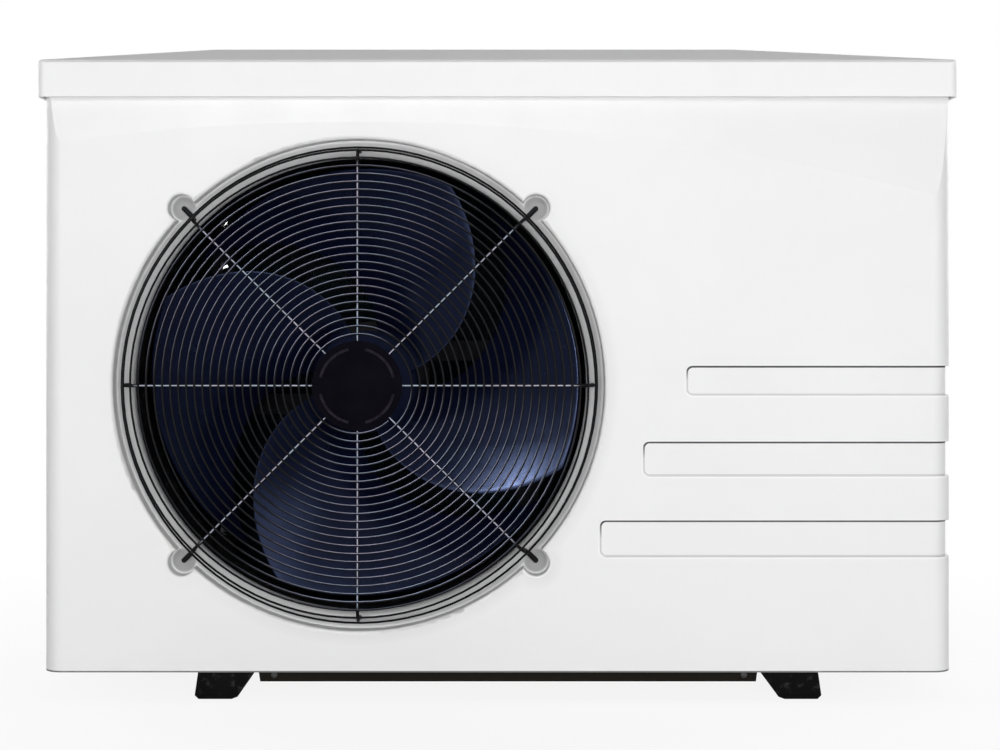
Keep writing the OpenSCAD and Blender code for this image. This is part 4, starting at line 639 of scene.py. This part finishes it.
def casing_screws():
    """Pan-head screws in the side panel, the rear panel, the guards and the lid's rear skirt."""
    radius, height, inset, skirt, lid_share = 0.0042, 0.0022, 0.012, 0.018, 0.8
    shape = Shape()
    side_low, side_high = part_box("right_panel")
    rear_low, rear_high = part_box("rear_panel")
    guard_low, guard_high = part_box("rear_guard")
    left_low, left_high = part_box("left_guard")
    lid_low, lid_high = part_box("top_cover")
    for z in (side_low.z + inset, (side_low.z + lid_low.z) / 2, lid_low.z - inset):
        shape.screw(facing((side_high.x, side_high.y - inset, z), (1, 0, 0)), radius, height)
        shape.screw(facing((side_high.x, side_low.y + inset, z), (1, 0, 0)), radius, height)
        for x in (rear_low.x + inset, rear_high.x - inset):
            shape.screw(facing((x, rear_high.y, z), (0, 1, 0)), radius, height)
        for x in (guard_low.x + inset / 2, guard_high.x - inset / 2):
            shape.screw(facing((x, guard_high.y, z), (0, 1, 0)), radius, height)
        for y in (left_low.y + inset / 2, left_high.y - inset / 2):
            shape.screw(facing((left_low.x, y, z), (-1, 0, 0)), radius, height)
    for x in (lid_low.x * lid_share, 0, lid_high.x * lid_share):
        shape.screw(facing((x, lid_high.y, lid_low.z + skirt), (0, 1, 0)), radius, height)
    shape.piece("casing_screws", casing, screw_zinc)


def bar_screws():
    """Two dark screws in the front of the bar under the casing."""
    low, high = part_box("base_bar")
    radius, height, from_left, from_right, below = 0.0034, 0.0016, 0.0164, 0.0141, 0.0036
    shape = Shape()
    for x in (low.x + from_left, high.x - from_right):
        shape.screw(facing((x, low.y, high.z - below), (0, -1, 0)), radius, height)
    shape.piece("bar_screws", casing, screw_black)


def rail_rivets():
    """Bright rivets in the holes of the motor bracket's left rail, seen between the blades."""
    low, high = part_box("motor_bracket")
    rail_half, step, first = 0.013, 0.026, 0.04
    shank_r, shank_h, gap, head_r, head_h, steps = 0.0028, 0.0016, 0.0002, 0.0062, 0.0012, 5
    dome = [math.pi / 2 * i / steps for i in range(steps + 1)]
    profile = [(0, -shank_h), (shank_r, -shank_h), (shank_r, gap)]
    profile += [(head_r * math.cos(a), gap + head_h * math.sin(a)) for a in dome]
    shape = Shape()
    count = int((high.z - low.z - first) / step)
    for i in range(count + 1):
        place = facing((low.x + rail_half, low.y, low.z + first + step * i), (0, -1, 0))
        shape.lathe(profile, place, steps=20)
    bmesh.ops.remove_doubles(shape.mesh, verts=shape.mesh.verts, dist=same_point)
    shape.piece("rail_rivets", casing, rivet_pale)


def dial():
    """The gauge's printed face: an enamelled disc and, on it, a scale over 270 degrees with figures."""
    centre = joint_at["needle_sweep"]
    behind, face_r, pin_r, thick = 0.003, 0.0236, 0.0034, 0.0002
    floor = facing(Vector((centre.x, centre.y - behind, centre.z)), (0, 1, 0))
    disc = Shape()
    disc.lathe([(pin_r, 0), (face_r, 0), (face_r, thick), (pin_r, thick)], floor, steps=64)
    disc.piece("gauge_dial", casing, dial_white)

    start, sweep = 225, 270
    figures, ticks_each = 6, 5
    ticks = ticks_each * (figures - 1)
    scale_in, scale_out, print_h = 0.0222, 0.0225, 0.00005
    minor_in, minor_half, major_in, major_half = 0.02, 0.0002, 0.0182, 0.0004
    marks = Shape()
    for i in range(ticks + 1):
        turn = floor @ Matrix.Rotation(math.radians(start - sweep * i / ticks), 4, "Z")
        inner, half = (minor_in, minor_half) if i % ticks_each else (major_in, major_half)
        marks.prism(oblong(inner, scale_out, -half, half), thick, thick + print_h, turn)
    outline = arc_band(scale_in, scale_out, start, start - sweep, steps=60)
    marks.prism(outline, thick, thick + print_h, floor)
    marks.piece("gauge_scale", casing, print_black)

    figure_r, figure_h, figure_z = 0.0146, 0.0046, thick + 0.00003
    for i in range(figures):
        angle = math.radians(start - sweep * i / (figures - 1))
        figure = bpy.data.curves.new(f"gauge_figure_{i}", "FONT")
        figure.body = str(i)
        figure.size = figure_h
        figure.align_x = "CENTER"
        figure.align_y = "CENTER"
        figure.extrude = print_h / 2
        figure.materials.append(print_black)
        made = bpy.data.objects.new(figure.name, figure)
        bpy.context.scene.collection.objects.link(made)
        at = Vector((figure_r * math.cos(angle), figure_r * math.sin(angle), figure_z))
        made.matrix_world = floor @ Matrix.Translation(at)
        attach(made, casing)


# Height of the signs and digits printed on the keypad
sign_h = 0.00008


def seven_segments(shape, place, digit, height):
    """One digit made of slanted bars."""
    lit = {"2": "abged", "8": "abcdefg"}[digit]
    slant = 0.12
    w, h, t = height * 0.5, height, height * 0.1
    gap, half = t * 0.75, t / 2
    bars = {
        "a": (0, h, w, h), "g": (0, h / 2, w, h / 2), "d": (0, 0, w, 0),
        "f": (0, h / 2, 0, h), "b": (w, h / 2, w, h), "e": (0, 0, 0, h / 2), "c": (w, 0, w, h / 2),
    }
    for name in lit:
        x0, y0, x1, y1 = bars[name]
        if y0 == y1:
            box = oblong(x0 + gap, x1 - gap, y0 - half, y0 + half)
        else:
            box = oblong(x0 - half, x0 + half, y0 + gap, y1 - gap)
        shape.prism([(x + slant * y, y) for x, y in box], 0, sign_h, place)


def keypad_marks():
    """Signs on the four keys and the digits in the window."""

    def right_face(node):
        """A frame in the middle of a node's right face."""
        low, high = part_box(node)
        return facing(Vector((high.x, (low.y + high.y) / 2, (low.z + high.z) / 2)), (1, 0, 0))

    digit_h, first_x, step_x = 0.013, -0.011, 0.0115
    shape = Shape()
    screen = right_face("keypad_display")
    for i, digit in enumerate("28"):
        place = screen @ Matrix.Translation((first_x + step_x * i, -digit_h / 2, 0))
        seven_segments(shape, place, digit, digit_h)
    shape.piece("display_digits", casing, print_pale)

    ring_out, ring_in, stroke_half, stroke_from, stroke_to = 0.003, 0.0024, 0.0003, 0.0005, 0.0036
    sun_out, sun_in, ray_half, ray_from, ray_to = 0.0016, 0.0011, 0.0002, 0.0021, 0.0034
    arrow_half, arrow_foot, arrow_tip = 0.003, -0.0018, 0.0024
    for key in ("power", "mode", "up", "down"):
        place = right_face(f"button_{key}")
        sign = Shape()
        if key == "power":
            sign.prism(arc_band(ring_out, ring_in, 120, 420, steps=40), 0, sign_h, place)
            sign.prism(oblong(-stroke_half, stroke_half, stroke_from, stroke_to), 0, sign_h, place)
        elif key == "mode":
            sign.prism(arc_band(sun_out, sun_in, 0, 359, steps=40), 0, sign_h, place)
            for i in range(8):
                turn = place @ Matrix.Rotation(math.pi / 4 * i, 4, "Z")
                sign.prism(oblong(ray_from, ray_to, -ray_half, ray_half), 0, sign_h, turn)
        else:
            flip = 1 if key == "up" else -1
            foot, tip = arrow_foot * flip, arrow_tip * flip
            sign.prism([(-arrow_half, foot), (0, tip), (arrow_half, foot)], 0, sign_h, place)
        sign.piece(f"sign_{key}", f"key_{key}", print_black)


spiral_wire()
fan_wheel()
coil_fins()
casing_screws()
bar_screws()
rail_rivets()
dial()
keypad_marks()


# Studio: a pale floor, two large lamps in front, a small one for the blades' gloss, and fills all round
scene = bpy.context.scene
scene.view_settings.view_transform = "Standard"


def lamp(name, place, target, width, height, power):
    """An area lamp that faces a target."""
    data = bpy.data.lights.new(name, "AREA")
    data.shape = "RECTANGLE"
    data.size, data.size_y, data.energy = width, height, power
    made = bpy.data.objects.new(name, data)
    scene.collection.objects.link(made)
    made.location = place
    made.rotation_euler = (Vector(target) - Vector(place)).to_track_quat("-Z", "Y").to_euler()
    return made


# Diffuse surfaces don't take the glint's light, so it shows only as gloss
aim = (0, 0, 0.35)
lamp("key", (0.1, -4.2, 1.65), aim, width=3.2, height=2.0, power=39)
lamp("front_fill", (0.15, -3.0, 0.38), (0, 0, 0), width=4.6, height=0.75, power=50)
glint = lamp("glint", (-0.6, -3.91, 2.42), aim, width=0.9, height=0.35, power=150)
glint.visible_diffuse = False
lamp("right_fill", (2.7, 2.0, 1.2), aim, width=1.6, height=1.6, power=30)
lamp("left_fill", (-2.7, 2.0, 1.2), aim, width=1.6, height=1.6, power=30)
lamp("top_fill", (0.0, 0.2, 3.2), aim, width=2.4, height=1.6, power=6)
lamp("rear_fill", (0.4, 3.4, 1.4), aim, width=3.0, height=2.0, power=50)


def white_world(strength):
    """Weak light from all round, while camera, glossy and transmission rays see plain white."""
    world = bpy.data.worlds.new("studio")
    world.use_nodes = True
    tree = world.node_tree
    tree.nodes.clear()
    ambient = tree.nodes.new("ShaderNodeBackground")
    ambient.inputs["Strength"].default_value = strength
    white = tree.nodes.new("ShaderNodeBackground")
    for background in (ambient, white):
        background.inputs["Color"].default_value = (1, 1, 1, 1)
    rays = tree.nodes.new("ShaderNodeLightPath")
    shown = rays.outputs["Is Camera Ray"]
    for kind in ("Is Glossy Ray", "Is Transmission Ray"):
        either = tree.nodes.new("ShaderNodeMath")
        either.operation = "MAXIMUM"
        tree.links.new(shown, either.inputs[0])
        tree.links.new(rays.outputs[kind], either.inputs[1])
        shown = either.outputs[0]
    mix = tree.nodes.new("ShaderNodeMixShader")
    tree.links.new(shown, mix.inputs[0])
    tree.links.new(ambient.outputs[0], mix.inputs[1])
    tree.links.new(white.outputs[0], mix.inputs[2])
    output = tree.nodes.new("ShaderNodeOutputWorld")
    tree.links.new(mix.outputs[0], output.inputs["Surface"])
    return world


scene.world = white_world(strength=0.1)


def white_floor():
    """A pale floor that keeps the shadow near the object and reads white further away."""
    look = Look("floor", {"Specular IOR Level": 0.1})
    tone = look.tones(look.noise(2, 3), (0.3, grey(0.93)), (0.7, grey(0.96)))
    look.done(tone, look.spread(look.noise(8), 0.7, 0.8), look.noise(300, 2), fine_relief)
    rays = look.add("ShaderNodeLightPath").outputs["Is Camera Ray"]
    distance = look.add("ShaderNodeVectorMath", {0: look.place}, operation="LENGTH").outputs["Value"]
    near, far = 0.4, 1.1
    share = look.times(rays, look.spread(distance, 0.88, 1, near, far))
    glow = look.add("ShaderNodeEmission", {"Color": (1, 1, 1, 1), "Strength": 1.0})
    both = look.add("ShaderNodeMixShader", {0: share, 1: look.shader.outputs[0], 2: glow.outputs[0]})
    look.feed(look.tree.nodes["Material Output"].inputs["Surface"], both.outputs[0])
    return look.material


floor_data = bpy.data.meshes.new("floor")
half = 30.0
corners = [(x, y, 0) for x, y in oblong(-half, half, -half, half)]
floor_data.from_pydata(corners, [], [(0, 1, 2, 3)])
floor_data.materials.append(white_floor())
floor = bpy.data.objects.new("floor", floor_data)
scene.collection.objects.link(floor)

camera_data = bpy.data.cameras.new("camera")
camera_data.sensor_width = 36
camera_data.lens = 65.5
camera_data.shift_y = -0.055
camera = bpy.data.objects.new("camera", camera_data)
camera.location = (0.0026, -2.103, 0.397)
camera.rotation_euler = (math.pi / 2, 0, 0)
scene.collection.objects.link(camera)
scene.camera = camera
